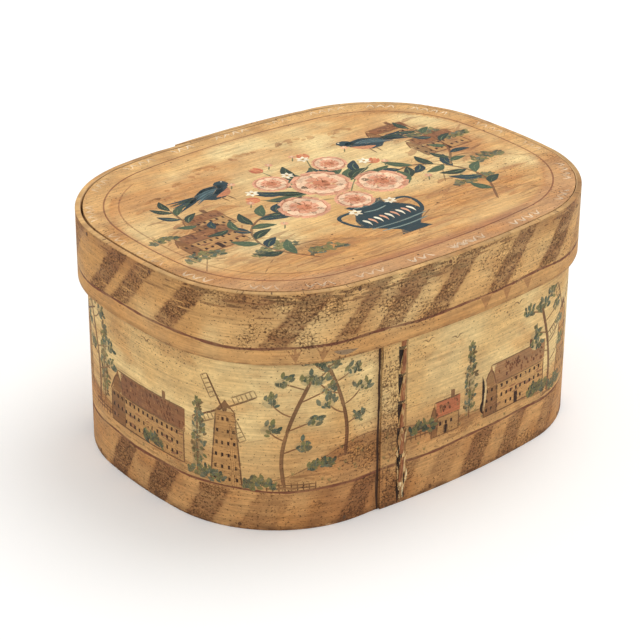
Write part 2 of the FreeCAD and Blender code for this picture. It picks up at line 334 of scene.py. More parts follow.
def make_form(name, strip):
    """A closed path along a strip's oval."""
    knots = []
    for centre_x, centre_y, radius, start, turn in strip.arcs:
        count = math.ceil(turn / FORM_STEP)
        for number in range(count):
            knots.append((centre_x, centre_y + strip.middle_y, radius,
                          start + turn * number / count, turn / count))
    knots = knots[1:] + knots[:1]
    line = bpy.data.curves.new(name, "CURVE")
    line.dimensions = "3D"
    line.twist_mode = "Z_UP"
    line.resolution_u = 32
    spline = line.splines.new("BEZIER")
    spline.bezier_points.add(len(knots) - 1)
    for number, (centre_x, centre_y, radius, angle, turn) in enumerate(knots):
        before = knots[number - 1]
        along = Vector((-math.sin(angle), math.cos(angle), 0))
        point = spline.bezier_points[number]
        point.handle_left_type = point.handle_right_type = "FREE"
        point.co = Vector((centre_x + radius * math.cos(angle), centre_y + radius * math.sin(angle), 0)) * MM
        point.handle_right = point.co + along * radius * 4 / 3 * math.tan(turn / 4) * MM
        point.handle_left = point.co - along * before[2] * 4 / 3 * math.tan(before[4] / 4) * MM
    spline.use_cyclic_u = True
    form = bpy.data.objects.new(name, line)
    bpy.context.scene.collection.objects.link(form)
    return form


def pick(piece):
    """Selects one object and nothing else."""
    bpy.ops.object.select_all(action="DESELECT")
    piece.select_set(True)
    bpy.context.view_layer.objects.active = piece


def finish_with(piece, kind, **settings):
    """Adds a modifier with its settings and applies it."""
    pick(piece)
    modifier = piece.modifiers.new("step", kind)
    for name, value in settings.items():
        setattr(modifier, name, value)
    bpy.ops.object.modifier_apply(modifier=modifier.name)


def wrap(piece, form, crease=35):
    """Wraps a flat piece round a form, if there is one, and shades it smooth up to a crease in degrees."""
    pick(piece)
    if form:
        finish_with(piece, "CURVE", object=form, deform_axis="POS_X")
    bpy.ops.object.shade_smooth_by_angle(angle=math.radians(crease))


def edit_all(piece, step, **settings):
    """Does one step in Edit Mode on the whole mesh."""
    pick(piece)
    bpy.ops.object.mode_set(mode="EDIT")
    bpy.ops.mesh.select_all(action="SELECT")
    step(**settings)
    bpy.ops.object.mode_set(mode="OBJECT")


box_form = make_form("box_form", BOX)
lid_form = make_form("lid_form", LID)


# %% [markdown]
# The flat strip starts as a grid, which is stood upright. Solidify gives it its wall and Bevel rounds its
# rims, as handling did. Then each point is pressed in as deep as the strip's record says, and the rims get
# the dents and small breaks that old split wood has.

# %% Saw out a flat strip
def new_grid(name, columns, rows, size=1):
    """A flat grid of faces."""
    bpy.ops.object.select_all(action="DESELECT")
    bpy.ops.mesh.primitive_grid_add(x_subdivisions=columns, y_subdivisions=rows, size=size)
    piece = bpy.context.object
    piece.name = piece.data.name = name
    return piece


def points_of(piece, unit=MM):
    """A mesh's points, in millimetres."""
    flat = np.zeros(len(piece.data.vertices) * 3)
    piece.data.vertices.foreach_get("co", flat)
    return flat.reshape(-1, 3) / unit


def move_points(piece, points):
    piece.data.vertices.foreach_set("co", (points * MM).ravel())
    piece.data.update()


def saw_strip(name, strip, cell, rim):
    """A flat strip with square cells of a given size, pressed to its depths."""
    long, tall = strip.last - strip.first, strip.high - strip.low
    piece = new_grid(name, round(long / cell), round(tall / cell))
    piece.scale = (long * MM, tall * MM, 1)
    piece.rotation_euler = (QUARTER, 0, 0)
    piece.location = ((strip.first + long / 2) * MM, 0, (strip.low + tall / 2) * MM)
    bpy.ops.object.transform_apply(location=True, rotation=True, scale=True)
    finish_with(piece, "SOLIDIFY", thickness=strip.wall * MM, offset=-1)
    finish_with(piece, "BEVEL", width=rim * MM, segments=2, limit_method="ANGLE",
                angle_limit=math.radians(60))
    points = points_of(piece)
    along, depth, up = points.T
    share = depth / strip.wall
    pressed = strip.outer(along, up) * (1 - share) + strip.inner(along) * share
    near_top = ramp(up, strip.high - 4, strip.high)
    near_foot = ramp(up, strip.low + 4, strip.low)
    worn = 0.45 * drift(along, depth, 17, 8) ** 2 + 0.9 * ramp(drift(along, depth * 0.2, 9, 12), 0.80, 0.92)
    up = up - worn * near_top + worn * near_foot * (strip.low > 0)
    move_points(piece, np.stack([along, pressed, up], axis=1))
    print(f"{name}: {len(piece.data.polygons)} faces, {long:.0f} by {tall:.0f} mm")
    return piece, points


box_band, box_points = saw_strip("box_band_painted", BOX, cell=3.0, rim=0.8)
lid_band, lid_points = saw_strip("lid_band_painted", LID, cell=2.6, rim=0.9)

# %% [markdown]
# ## What is painted on the strips
# The ground of the paint is an ochre cream. Round the foot of the box and round the lid run slanted brown
# stripes, each pulled with a flat brush at its own pace, and a thin red-brown line closes each stripe zone.
# Above the foot the box has a landscape. Soft colour goes on the mesh as a wash. A stripe's edge is kept as
# the distance to it in millimetres: that can be stored coarsely and still gives the shader a crisp edge.

# %% The landscape's ground: sky, far hills and near hills
SKY, SKY_DEEP = colour("#E4C689"), colour("#D6AC6C")
FAR_HILL, NEAR_HILL, HILL_SHADE = colour("#CC9E62"), colour("#BB8249"), colour("#86552E")
GRASS = colour("#8E7A48")
OCHRE, OCHRE_DEEP = colour("#D2A568"), colour("#C08A4A")
FOOT_OCHRE, FOOT_OCHRE_DEEP = colour("#C6945A"), colour("#B07A44")
BARE_WOOD = colour("#C9A67C")
SMUDGE, SEAM_STAIN, DARK_BY_SEAM = colour("#8C5C36"), colour("#A86A38"), colour("#7A4E2C")
FOOT_LINE = 38.0
PAINT_TOP = 172.0           # the lid covers the strip above this, so it was hardly painted there


def wave(place, length, *parts):
    """A sum of waves that meets itself after one turn round the box. Each part: count, height, shift."""
    return sum(height * np.cos(2 * math.pi * count * place / length + shift)
               for count, height, shift in parts)


def near_hill_top(place):
    return 60 + wave(place, BOX.length, (3, 9, 0.6), (5, 6, 2.1), (8, 4, 4.0), (13, 1.5, 1.0))


def far_hill_top(place):
    return 84 + wave(place, BOX.length, (2, 7, 2.6), (4, 9, 0.9), (7, 5, 5.2), (11, 2, 3.0))


def box_wash(along, up):
    """The soft ground colour at each point of the box's strip, and how thickly pitted the paint is there."""
    front = np.where(along > BOX.length / 2, along - BOX.length, along)
    near_top, far_top = near_hill_top(along), far_hill_top(along)
    patch = drift(along, up, 45, 21)
    fine = drift(along * 0.35, up * 2.2, 16, 22)
    by_seam = ramp(front, BOX.seam - 70, BOX.seam - 8) * ramp(front, BOX.seam + 2, BOX.seam - 1)
    beside = ramp(front, BOX.seam - 11, BOX.seam - 3) * (front < BOX.seam)
    torn = 14 * drift(along, up * 0.3, 9, 31)
    bare = ramp(up, PAINT_TOP - 5 + torn, PAINT_TOP + 4 + torn)
    sky = coats(SKY,
                (SKY_DEEP, 0.75 * ramp(patch, 0.42, 0.78) + 0.25 * ramp(up, 150, 95)),
                (OCHRE_DEEP, 0.55 * ramp(drift(along, up, 80, 23), 0.52, 0.74)),
                (GRASS, 0.30 * ramp(up, 148, 158) * (0.4 + fine)))
    far = coats(FAR_HILL, (NEAR_HILL, 0.5 * ramp(fine, 0.35, 0.75)))
    near = coats(NEAR_HILL,
                 (HILL_SHADE, 0.75 * ramp(up, near_top - 16, near_top) * (0.5 + patch)),
                 (GRASS, 0.55 * ramp(drift(along, up, 60, 25), 0.5, 0.8)),
                 (FAR_HILL, 0.75 * ramp(up, 56 + 6 * fine, 40)))
    foot = coats(FOOT_OCHRE, (FOOT_OCHRE_DEEP, ramp(drift(along, up, 30, 27), 0.35, 0.75)))
    painted = coats(sky,
                    (far, 0.62 * ramp(up, far_top + 4 + 5 * fine, far_top - 7)),
                    (near, 0.88 * ramp(up, near_top + 2 + 4 * fine, near_top - 4)),
                    (foot, ramp(up, FOOT_LINE + 1.2, FOOT_LINE - 1.2)),
                    (SMUDGE, 0.26 * ramp(drift(along, up, 90, 29), 0.52, 0.80)),
                    (SEAM_STAIN, 0.55 * by_seam * ramp(up, 95, 45) * (0.5 + 0.6 * fine)),
                    # Darker over the last 8 mm before the outer end's edge.
                    (DARK_BY_SEAM, 0.45 * beside),
                    (BARE_WOOD, bare))
    speckle = 0.16 + 0.34 * ramp(up, 90, 55) + 0.4 * ramp(patch, 0.55, 0.8) + 0.45 * by_seam
    speckle = speckle + 0.7 * (front > BOX.seam) * (front < BOX.seam + 20)
    return np.column_stack([painted, np.clip(speckle * (1 - bare), 0, 1)])


# %% The lid's ground
LID_LINE = 170.0
LID_FOOT = colour("#BF8C52")
RIM, RIM_WORN = colour("#CFA468"), colour("#AE8250")


def lid_wash(along, up):
    """The soft ground colour at each point of the lid's strip, and how thickly pitted the paint is there."""
    handled = 0.45 + 0.55 * np.exp(-((along + 110) / 150) ** 2)
    cloud = ramp(drift(along * 0.5, up, 24, 45), 0.34, 0.70) * ramp(up, 188, 213)
    stain = ramp(drift(along * 0.6, up, 34, 48), 0.52, 0.72) * ramp(up, LID_LINE, LID_LINE + 12)
    rim = coats(RIM, (RIM_WORN, ramp(drift(along, up * 0, 26, 47), 0.35, 0.8)))
    rim_share = ramp(up, 215.9, 216.7)
    painted = coats(OCHRE,
                    (SKY, 0.45 * ramp(drift(along, up, 38, 41), 0.55, 0.25)),
                    (OCHRE_DEEP, 0.8 * ramp(drift(along, up, 70, 43), 0.40, 0.72)),
                    (LID_FOOT, 0.6 * ramp(up, LID_LINE + 1.5, LID_LINE - 1.5)),
                    (SMUDGE, 0.92 * cloud * handled),
                    (SMUDGE, 0.55 * stain * handled),
                    (rim, rim_share))
    speckle = 0.35 + 0.75 * handled * ramp(drift(along, up, 50, 49), 0.30, 0.62)
    speckle = np.clip(speckle - 0.4 * ramp(up, LID_LINE, LID_LINE - 6), 0, 1)
    return np.column_stack([painted, speckle * (1 - 0.8 * rim_share)])


# %% [markdown]
# The stripes weren't measured out: their gaps and widths vary, and some were smudged while wet. The first
# lists hold the ones that show in the photograph, as first edge, last edge and strength, and the rest of the
# way round goes on in the same rhythm from a fixed seed. The slant is how far a stripe leans for each
# millimetre that it rises.

# %% Lay out the stripes
def more_stripes(known, start, stop, pitch, seed):
    """Known stripes and others at about the same spacing."""
    chance = np.random.default_rng(seed)
    stripes = list(known)
    place = start
    while place < stop:
        wide = pitch * chance.uniform(0.42, 0.56)
        stripes.append((place, place + wide, chance.uniform(0.55, 1.0)))
        place += pitch * chance.uniform(0.86, 1.14)
    return stripes


FOOT_STRIPES = more_stripes([(-339, -313, 0.95), (-286, -258, 1.0), (-233, -206, 0.85), (-184, -154, 0.6),
                             (-101, -80, 0.9), (-131, -117, 0.35), (-58, -35, 0.75), (-14, 12, 0.5),
                             (27, 52, 0.9), (72, 94, 0.8)],
                            122, 845, 53, 2)
FOOT_STRIPES = [(first, last if first >= BOX.seam or last <= BOX.seam - 4 else BOX.seam, strong)
                for first, last, strong in FOOT_STRIPES]
FOOT_SLANT = 0.5
LID_STRIPES = more_stripes([(-380, -357, 0.9), (-346, -324, 0.85), (-290, -266, 0.95), (-190, -166, 0.95),
                            (-130, -112, 0.8), (-92, -66, 0.85), (-42, -18, 0.9), (26, 50, 0.9)],
                           88, 590, 50, 5)
LID_STRIPES = more_stripes(LID_STRIPES, -600, -420, 50, 9)
LID_SLANT = 0.84
NO_STRIPE = -20.0           # far outside every stripe


def stripe_distance(place, stripes, length):
    """How far each point lies inside the nearest stripe, and that stripe's strength."""
    inside = np.full(place.shape, NO_STRIPE)
    strength = np.zeros(place.shape)
    for first, last, strong in stripes:
        for turn in (-length, 0, length):
            reach = np.minimum(place - first - turn, last + turn - place)
            nearer = reach > inside
            inside = np.where(nearer, reach, inside)
            strength = np.where(nearer, strong, strength)
    return inside, strength


# %% [markdown]
# Now each strip gets its washes, its stripe and line distances and its grime as values on its vertices, and a
# UV map in metres along the flat strip. The patterns of the finish read that map, so grain, crackle and
# stripes follow the wood round the oval.

# %% Put the painting's plan on a mesh
def store(piece, **layers):
    """Keeps one number or one colour per vertex, under each name."""
    for name, values in layers.items():
        values = np.asarray(values, dtype=float)
        if values.ndim == 0:
            values = np.full(len(piece.data.vertices), values)
        kind, part = ("FLOAT_COLOR", "color") if values.ndim == 2 else ("FLOAT", "value")
        if values.ndim == 2 and values.shape[1] == 3:
            values = np.concatenate([values, np.ones((len(values), 1))], axis=1)
        layer = piece.data.attributes.new(name, kind, "POINT")
        layer.data.foreach_set(part, values.ravel())


def store_map(piece, across, up):
    """A UV map in metres, from two values per vertex in millimetres."""
    mesh = piece.data
    while mesh.uv_layers:
        mesh.uv_layers.remove(mesh.uv_layers[0])
    layer = mesh.uv_layers.new(name="strip")
    corners = np.zeros(len(mesh.loops), dtype=int)
    mesh.loops.foreach_get("vertex_index", corners)
    layer.data.foreach_set("uv", (np.stack([across, up], axis=1)[corners] * MM).ravel())


def plan_box():
    along, _, up = box_points.T
    front = np.where(along > BOX.length / 2, along - BOX.length, along)
    inside, strength = stripe_distance(front + (FOOT_LINE - up) * FOOT_SLANT, FOOT_STRIPES, BOX.length)
    step = 1.6 * ramp(along, BOX.length - 260, BOX.length - 80)
    line = up - FOOT_LINE + step + 1.2 * wave(along, BOX.length, (9, 0.6, 1.0), (17, 0.4, 2.0))
    grime = np.maximum(ramp(up, 7, 0), 0.5 * ramp(up, BOX.high - 4, BOX.high))
    store(box_band, wash=box_wash(along, up), stripe=np.where(line > 0, NO_STRIPE, inside), strength=strength,
          line=line, grime=grime)
    store_map(box_band, along, up)


def plan_lid():
    along, _, up = lid_points.T
    inside, strength = stripe_distance(along - (up - LID_LINE) * LID_SLANT, LID_STRIPES, LID.length)
    line = up - LID_LINE + 1.2 * wave(along, LID.length, (7, 0.7, 0.4), (15, 0.5, 3.0))
    grime = np.maximum(0.8 * ramp(up, LID.low + 4, LID.low), 0.30 * ramp(up, LID.high - 4, LID.high - 1))
    striped = (line >= 0) & (up <= LID.high - 0.6)
    store(lid_band, wash=lid_wash(along, up), stripe=np.where(striped, inside, NO_STRIPE), strength=strength,
          line=line, grime=grime)
    store_map(lid_band, along, up)


plan_box()
plan_lid()
wrap(box_band, box_form)
wrap(lid_band, lid_form)
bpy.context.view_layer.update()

# %% [markdown]
# ## The lid's board
# The board lies flush inside the lid's rim. Its outline is the CAD board's own: a merged copy of that piece
# cuts it out of a fine slab with Boolean, so the slab keeps its even cells, which the painted top needs. Old
# boards shrink, so it is then made a hair smaller towards the front right, and a dark gap opens behind it.

# %% Cut the lid's board from a slab
BOARD_TOP = 217.0
BOARD_THICK = 9.0
BOARD_CELLS = (148, 114)                # about 3 mm each
BOARD_SLAB = (0.4443, 0.3423, 1)
BOARD_SHRINK = (0.9968, 0.9962, 1)
SHRINK_TO = (0.12, -0.14, 0)
CUTTER_TALLER = 1.2

lid_board = new_grid("lid_board_painted", *BOARD_CELLS)
lid_board.scale = BOARD_SLAB
lid_board.location = (0.0002, 0.0003, (BOARD_TOP - SKIN) * MM)
bpy.ops.object.transform_apply(location=True, rotation=True, scale=True)
finish_with(lid_board, "SOLIDIFY", thickness=(BOARD_THICK - SKIN - 0.05) * MM, offset=-1)

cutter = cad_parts["lid_board"].copy()
cutter.data = cutter.data.copy()
cutter.name = "board_outline"
bpy.context.scene.collection.objects.link(cutter)
edit_all(cutter, bpy.ops.mesh.remove_doubles, threshold=0.000002)
cutter.data.transform(Matrix.Diagonal((1, 1, CUTTER_TALLER, 1)) @ Matrix.Translation((0, 0, -0.0345)))
finish_with(lid_board, "BOOLEAN", operation="INTERSECT", solver="EXACT", object=cutter)
bpy.data.objects.remove(cutter)
edit_all(lid_board, bpy.ops.transform.resize, value=BOARD_SHRINK, center_override=SHRINK_TO)
board_points = points_of(lid_board)
print("lid board:", len(lid_board.data.polygons), "faces,", board_points.min(0).round(1),
      board_points.max(0).round(1))

# %% [markdown]
# The top is painted in two parts. A border of ochre runs round the rim, and inside a thin oval line is a
# cream field with brown washes, like clouds above and ground below. How far a point lies from the rim says
# which part it is in.

# %% The washes on the lid's top
FRAME_HALF = (193.5, 141.0)
FRAME_OVAL = oval_arcs(*FRAME_HALF, 103.0)
FRAME_LENGTH = oval_length(FRAME_OVAL)
FRAME_SPOTS = 720
CREAM, CREAM_WARM = colour("#DEC288"), colour("#D4AA6C")
CLOUD, GROUND, RUST = colour("#B9793F"), colour("#C08545"), colour("#A86734")
FRONT_BAND, FRONT_BORDER, BORDER_DEEP = colour("#A66C49"), colour("#B5835A"), colour("#BA864C")
END_MASSES = ((-146, -26, 46, 44, 0.80), (152, 8, 40, 60, 0.85), (104, 66, 56, 26, 0.55),
              (-92, -88, 62, 24, 0.6),
              (112, -74, 56, 26, 0.55))


def in_oval(x, y, half_length, half_width, power):
    """Whether a point lies in a rounded oval round the middle of the lid."""
    return (abs(x) / half_length) ** power + (abs(y) / half_width) ** power < 1


def inside_frame(across, back):
    """How far each point lies inside the painted oval line, in millimetres. Outside, it is negative."""
    spots = KDTree(FRAME_SPOTS)
    for number in range(FRAME_SPOTS):
        spots.insert((*oval_point(FRAME_OVAL, number * FRAME_LENGTH / FRAME_SPOTS), 0), number)
    spots.balance()
    far = np.array([spots.find((x, y, 0))[2] for x, y in zip(across, back)])
    return np.where(in_oval(across, back, *FRAME_HALF, 2.6), far, -far)


def top_wash(across, back):
    """The soft ground colour at each point of the lid's top, and how thickly pitted the paint is there."""
    inside = inside_frame(across, back)
    patch = drift(across, back, 60, 61)
    streak = drift(across * 0.3, back * 1.8, 26, 62)
    cloud = ramp(drift(across * 0.55, back, 42, 66), 0.47, 0.66) * ramp(back, 25, 75) * ramp(across, 190, 60)
    hills = 16 * np.sin(across / 47)
    ground = ramp(back, -52 + hills + 10 * streak, -80 + hills)
    near = ramp(back, -30, -120)
    masses = []
    for x, y, wide, deep, strong in END_MASSES:
        far = np.hypot((across - x) / wide, (back - y) / deep) + 0.7 * (streak - 0.5)
        masses.append((RUST, strong * ramp(far, 1.0, 0.30) * (0.55 + 0.5 * patch)))
    field = coats(CREAM,
                  (CREAM_WARM, 0.9 * ramp(patch, 0.30, 0.68)),
                  (GROUND, 0.55 * ramp(drift(across * 0.5, back, 70, 67), 0.46, 0.66)),
                  (CLOUD, 0.70 * cloud * (0.5 + 0.6 * streak)),
                  *masses,
                  (GROUND, 0.72 * ground * (0.55 + 0.6 * streak)),
                  (CLOUD, 0.45 * ramp(inside, 18 * patch + 4, 0)),
                  (FRONT_BAND, 0.70 * near * ramp(inside, 11 + 4 * streak, 3)))
    border = coats(OCHRE,
                   (BORDER_DEEP, ramp(drift(across, back, 36, 64), 0.3, 0.72)),
                   (SMUDGE, 0.30 * ramp(drift(across, back, 16, 65), 0.55, 0.8)),
                   (FRONT_BORDER, 0.65 * near))
    speckle = 0.10 + 0.35 * ramp(drift(across, back, 48, 68), 0.5, 0.8) + 0.3 * ramp(inside, 0, -10)
    return np.column_stack([coats(border, (field, ramp(inside, -0.8, 0.8))), speckle])


across, back, _ = board_points.T
store(lid_board, wash=top_wash(across, back), stripe=NO_STRIPE, strength=0, line=-NO_STRIPE, grime=0)
store_map(lid_board, across, back)
print("lid board washes stored")

# %% [markdown]
# ## Distemper on split wood
# Distemper is pigment bound with glue. It dries matt, lets the wood's grain show as faint streaks along the
# strip, wears off along edges, and shrinks into fine dark cracks and pits where it lies thick, as it does in
# the stripes. So the finish is rough, with a little bump from the grain, and its cracks and pits gather in
# the stripes. Sizes below are real millimetres. The pits are drawn about 1 mm wide, coarser than most real
# ones, because finer ones wouldn't show at this distance.

# %% The painted finish
STRIPE_BROWN, WARM_GLAZE, LINE_BROWN = colour("#7C4C28"), colour("#BE7C38"), colour("#6B3A28")
PIT_BROWN, GRIME_BROWN, WORN_WOOD = colour("#40240F"), colour("#5E3C22"), colour("#DDBD90")


def millimetres(add):
    """The strip's own map, in millimetres."""
    return add("VectorMath", {0: add("UVMap", uv_map="strip"), "Scale": 1000.0}, operation="SCALE")


def noise(add, place, across, up, detail=3.0, rough=0.55):
    """Noise whose features are that many millimetres across and up."""
    scaled = add("Mapping", {"Vector": place, "Scale": (1 / across, 1 / up, 1)})
    return add("TexNoise", {"Vector": scaled, "Scale": 1.0, "Detail": detail, "Roughness": rough}, out="Fac")


def distemper(name, brushed):
    """The painted finish. Where brushed is true it is for brush marks, which show their own colour."""
    material, add = new_material(name)
    place = millimetres(add)
    wash = add("Attribute", attribute_name="wash", out="Color")
    speckle = add("Attribute", attribute_name="wash", out="Alpha")
    fibre = noise(add, place, 42, 1.6, 5, 0.62)
    seam = noise(add, place, 150, 3.8, 4)
    blotch = noise(add, place, 20, 14, 5, 0.6)
    patch = noise(add, place, 58, 34, 4)
    mottle = noise(add, place, 4.2, 3.0, 4, 0.65)
    ground = add("RGBA", add("SMOOTHSTEP", patch, 0.50, 0.68, 0.0, 0.36), wash, WARM_GLAZE)
    if brushed:
        paint = add("Attribute", attribute_name="paint", out="Color")
        cover = add("Attribute", attribute_name="paint", out="Alpha")
        edge = add("Attribute", attribute_name="edge", out="Fac")
        ragged = add("ADD", edge, add("MULTIPLY", noise(add, place, 1.8, 1.3, 2), 0.5))
        share = add("MULTIPLY", cover, add("SMOOTHSTEP", ragged, 0.12, 0.30))
        share = add("MULTIPLY", share, add("SMOOTHSTEP", mottle, 0.28, 0.44, 0.86, 1.0))
        ground = add("RGBA", share, ground, paint)
        laid = add("MULTIPLY", speckle, 0.5)
    else:
        inside = add("Attribute", attribute_name="stripe", out="Fac")
        strength = add("Attribute", attribute_name="strength", out="Fac")
        wander = add("MULTIPLY", add("SUBTRACT", noise(add, place, 4.0, 3.0, 4), 0.5), 9.0)
        wander = add("ADD", wander, add("MULTIPLY", add("SUBTRACT", blotch, 0.5), 9.0))
        inside = add("ADD", inside, wander)
        laid = add("MULTIPLY", add("SMOOTHSTEP", inside, -3.0, 3.0), strength)
        thin = add("SMOOTHSTEP", noise(add, place, 16, 7, 5, 0.65), 0.34, 0.62, 0.34, 0.80)
        pooled = add("MULTIPLY", add("SMOOTHSTEP", inside, 5.0, 1.0), 0.16)
        cover = add("MULTIPLY", laid, add("MINIMUM", add("ADD", thin, pooled), 1.0))
        ground = add("RGBA", cover, ground, STRIPE_BROWN)
        line = add("Attribute", attribute_name="line", out="Fac")
        pressed = add("MULTIPLY", noise(add, place, 16, 16, 3), 2.5)
        reach = add("SUBTRACT", pressed, add("ABSOLUTE", line))
        drawn = add("MULTIPLY", add("SMOOTHSTEP", reach, -0.35, 0.45),
                    add("SMOOTHSTEP", blotch, 0.3, 0.6, 0.6, 0.95))
        ground = add("RGBA", drawn, ground, LINE_BROWN)
    value = add("SMOOTHSTEP", fibre, 0.3, 0.7, 0.86, 1.14)
    for grain, low, high, least, most in ((blotch, 0.3, 0.7, 0.90, 1.12), (seam, 0.35, 0.62, 0.94, 1.08),
                                          (mottle, 0.3, 0.7, 0.92, 1.10)):
        value = add("MULTIPLY", value, add("SMOOTHSTEP", grain, low, high, least, most))
    ground = add("HueSaturation", {"Color": ground, "Value": value, "Saturation": 0.98})

    # Pits, cracks and worm holes, which gather where the paint is thick
    gather = add("MULTIPLY", add("SMOOTHSTEP", patch, 0.40, 0.60, 0.45, 1.0), speckle)
    gather = add("MAXIMUM", gather, laid)
    pit = add("ADD", noise(add, place, 2.3, 1.7, 2.0, 0.6), add("MULTIPLY", gather, 0.13))
    pits = add("SMOOTHSTEP", pit, 0.655, 0.715, 0.0, 0.80)
    bent = add("TexNoise", {"Vector": place, "Scale": 0.35, "Detail": 3.0}, out="Color")
    bent = add("VectorMath", {0: bent, "Scale": 3.0}, operation="SCALE")
    bent = add("VectorMath", {0: place, 1: bent}, operation="ADD")
    crack = add("TexVoronoi", {"Vector": bent, "Scale": 0.33}, out="Distance", feature="DISTANCE_TO_EDGE")
    cracks = add("MULTIPLY", add("SMOOTHSTEP", crack, 0.17, 0.04),
                 add("SMOOTHSTEP", gather, 0.45, 0.95, 0.0, 0.62))
    cracks = add("MULTIPLY", cracks, add("SMOOTHSTEP", blotch, 0.42, 0.56))
    hole = add("TexVoronoi", {"Vector": place, "Scale": 1 / 17}, out="Distance", feature="F1")
    holes = add("MULTIPLY", add("SMOOTHSTEP", hole, 0.075, 0.045),
                add("SMOOTHSTEP", patch, 0.50, 0.54, 0.0, 0.85))
    for dark in (pits, cracks, holes):
        ground = add("RGBA", dark, ground, PIT_BROWN)

    # Grime along the edges, and bare wood where hands have rubbed it through
    grime = add("Attribute", attribute_name="grime", out="Fac")
    dirt = add("MULTIPLY", grime, add("SMOOTHSTEP", noise(add, place, 14, 6, 4), 0.38, 0.62, 0.15, 0.9))
    ground = add("RGBA", dirt, ground, GRIME_BROWN)
    handled = add("SMOOTHSTEP", noise(add, place, 9, 2.5, 4), 0.60, 0.68)
    rubbed = add("MULTIPLY", add("SMOOTHSTEP", grime, 0.55, 0.95), handled)
    ground = add("RGBA", add("MULTIPLY", rubbed, 0.6), ground, WORN_WOOD)
    height = add("ADD", add("MULTIPLY", fibre, 0.55), add("MULTIPLY", mottle, 0.25))
    height = add("SUBTRACT", height, add("MULTIPLY", add("ADD", pits, cracks), 0.6))
    bump = add("Bump", {"Height": height, "Strength": 0.55, "Distance": 0.35 * MM})
    rough = add("SMOOTHSTEP", blotch, 0.3, 0.7, 0.62, 0.82)
    shader = add("BsdfPrincipled", {"Base Color": ground, "Roughness": rough, "Normal": bump,
                                    "Specular IOR Level": 0.32})
    add("OutputMaterial", {"Surface": shader})
    return material


painted = distemper("matt_distemper_on_spruce", brushed=False)

# %% [markdown]
# ## Bare wood
# Inside, the strips and boards are split and planed spruce, never painted. It has gone honey brown with age.
# Spruce shows narrow darker summer rings, here about 2 to 5 mm apart, long fibres, small dark knots and the
# ripple that a plane leaves. The strips' rings follow the strip, so they use its map. The bottom board and
# the pegs are CAD pieces, so they read Object coordinates instead.

# %% The wood finish
def spruce(name, light, dark, strip_map, ring=3.2):
    """Bare aged spruce whose grain runs along X, or along the strip."""
    material, add = new_material(name)
    place = millimetres(add) if strip_map else add(
        "VectorMath", {0: add("TexCoord", out="Object"), "Scale": 1000.0}, operation="SCALE")
    sway = add("Mapping", {"Vector": place, "Scale": (1 / 160, 1 / 34, 1 / 34)})
    sway = add("TexNoise", {"Vector": sway, "Scale": 1.0, "Detail": 2.0}, out="Fac")
    rings = add("DIVIDE", add("SeparateXYZ", {0: place}, out="Y"), ring)
    rings = add("FRACT", add("ADD", rings, add("MULTIPLY", sway, 11.0)))
    late = add("MULTIPLY", add("SMOOTHSTEP", rings, 0.35, 0.95), add("SMOOTHSTEP", rings, 1.0, 0.95))
    fibres = add("Mapping", {"Vector": place, "Scale": (1 / 30, 1 / 0.5, 1 / 0.5)})
    fibres = add("TexNoise", {"Vector": fibres, "Scale": 1.0, "Detail": 4.0}, out="Fac")
    blotch = add("TexNoise", {"Vector": place, "Scale": 1 / 48, "Detail": 4.0}, out="Fac")
    shade = add("ADD", add("MULTIPLY", late, 0.50), add("MULTIPLY", fibres, 0.38))
    shade = add("ADD", shade, add("SMOOTHSTEP", blotch, 0.35, 0.7, -0.10, 0.25))
    wood = add("RGBA", shade, colour(light), colour(dark))
    wood = add("RGBA", add("SMOOTHSTEP", blotch, 0.55, 0.75, 0.0, 0.35), wood, colour("#8D755A"))
    height = add("SUBTRACT", add("MULTIPLY", fibres, 0.6), add("MULTIPLY", late, 0.35))
    bump = add("Bump", {"Height": height, "Strength": 0.5, "Distance": 0.3 * MM})
    rough = add("SMOOTHSTEP", fibres, 0.3, 0.7, 0.58, 0.74)
    shader = add("BsdfPrincipled", {"Base Color": wood, "Roughness": rough, "Normal": bump,
                                    "Specular IOR Level": 0.35})
    add("OutputMaterial", {"Surface": shader})
    return material


strip_wood = spruce("aged_spruce_split_along_the_strip", "#D0AC7C", "#A87B4C", strip_map=True)
board_wood = spruce("aged_spruce_planed_board", "#C9A373", "#98703F", strip_map=False)
peg_wood = spruce("whittled_spruce_peg", "#7A5230", "#4A2E1A", strip_map=False, ring=1.1)


def paint_outside(piece, is_bare):
    """Paint on the first slot, bare wood on the second. is_bare says which of its faces are bare."""
    piece.data.materials.clear()
    piece.data.materials.append(painted)
    piece.data.materials.append(strip_wood)
    for face in piece.data.polygons:
        face.material_index = int(is_bare(face))
    bare = sum(face.material_index for face in piece.data.polygons)
    print(f"{piece.name}: {bare} bare faces of {len(piece.data.polygons)}")


for band, strip, points in ((box_band, BOX, box_points), (lid_band, LID, lid_points)):
    paint_outside(band, lambda face: min(points[corner, 1] for corner in face.vertices) > strip.wall / 2)
paint_outside(lid_board, lambda face: face.normal.z < 0.5)
for node, wood in (("bottom_board", board_wood), ("bottom_pegs", peg_wood), ("lid_pegs", peg_wood)):
    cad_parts[node].data.materials.clear()
    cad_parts[node].data.materials.append(wood)

# %% [markdown]
# ## Brush marks
# The scenes and flowers are drawn with loaded brushes, and folk painters build everything from a few marks: a
# line, a pointed leaf, a comma that starts round and thins out, a block or a wall, a wedge for a gable. Each
# mark is modelled once from a grid whose columns are narrowed one by one. Copies are then laid along short
# paths, because that is how a hand uses a brush. A mark keeps how near each point is to its edge, so that the
# finish can fray it.

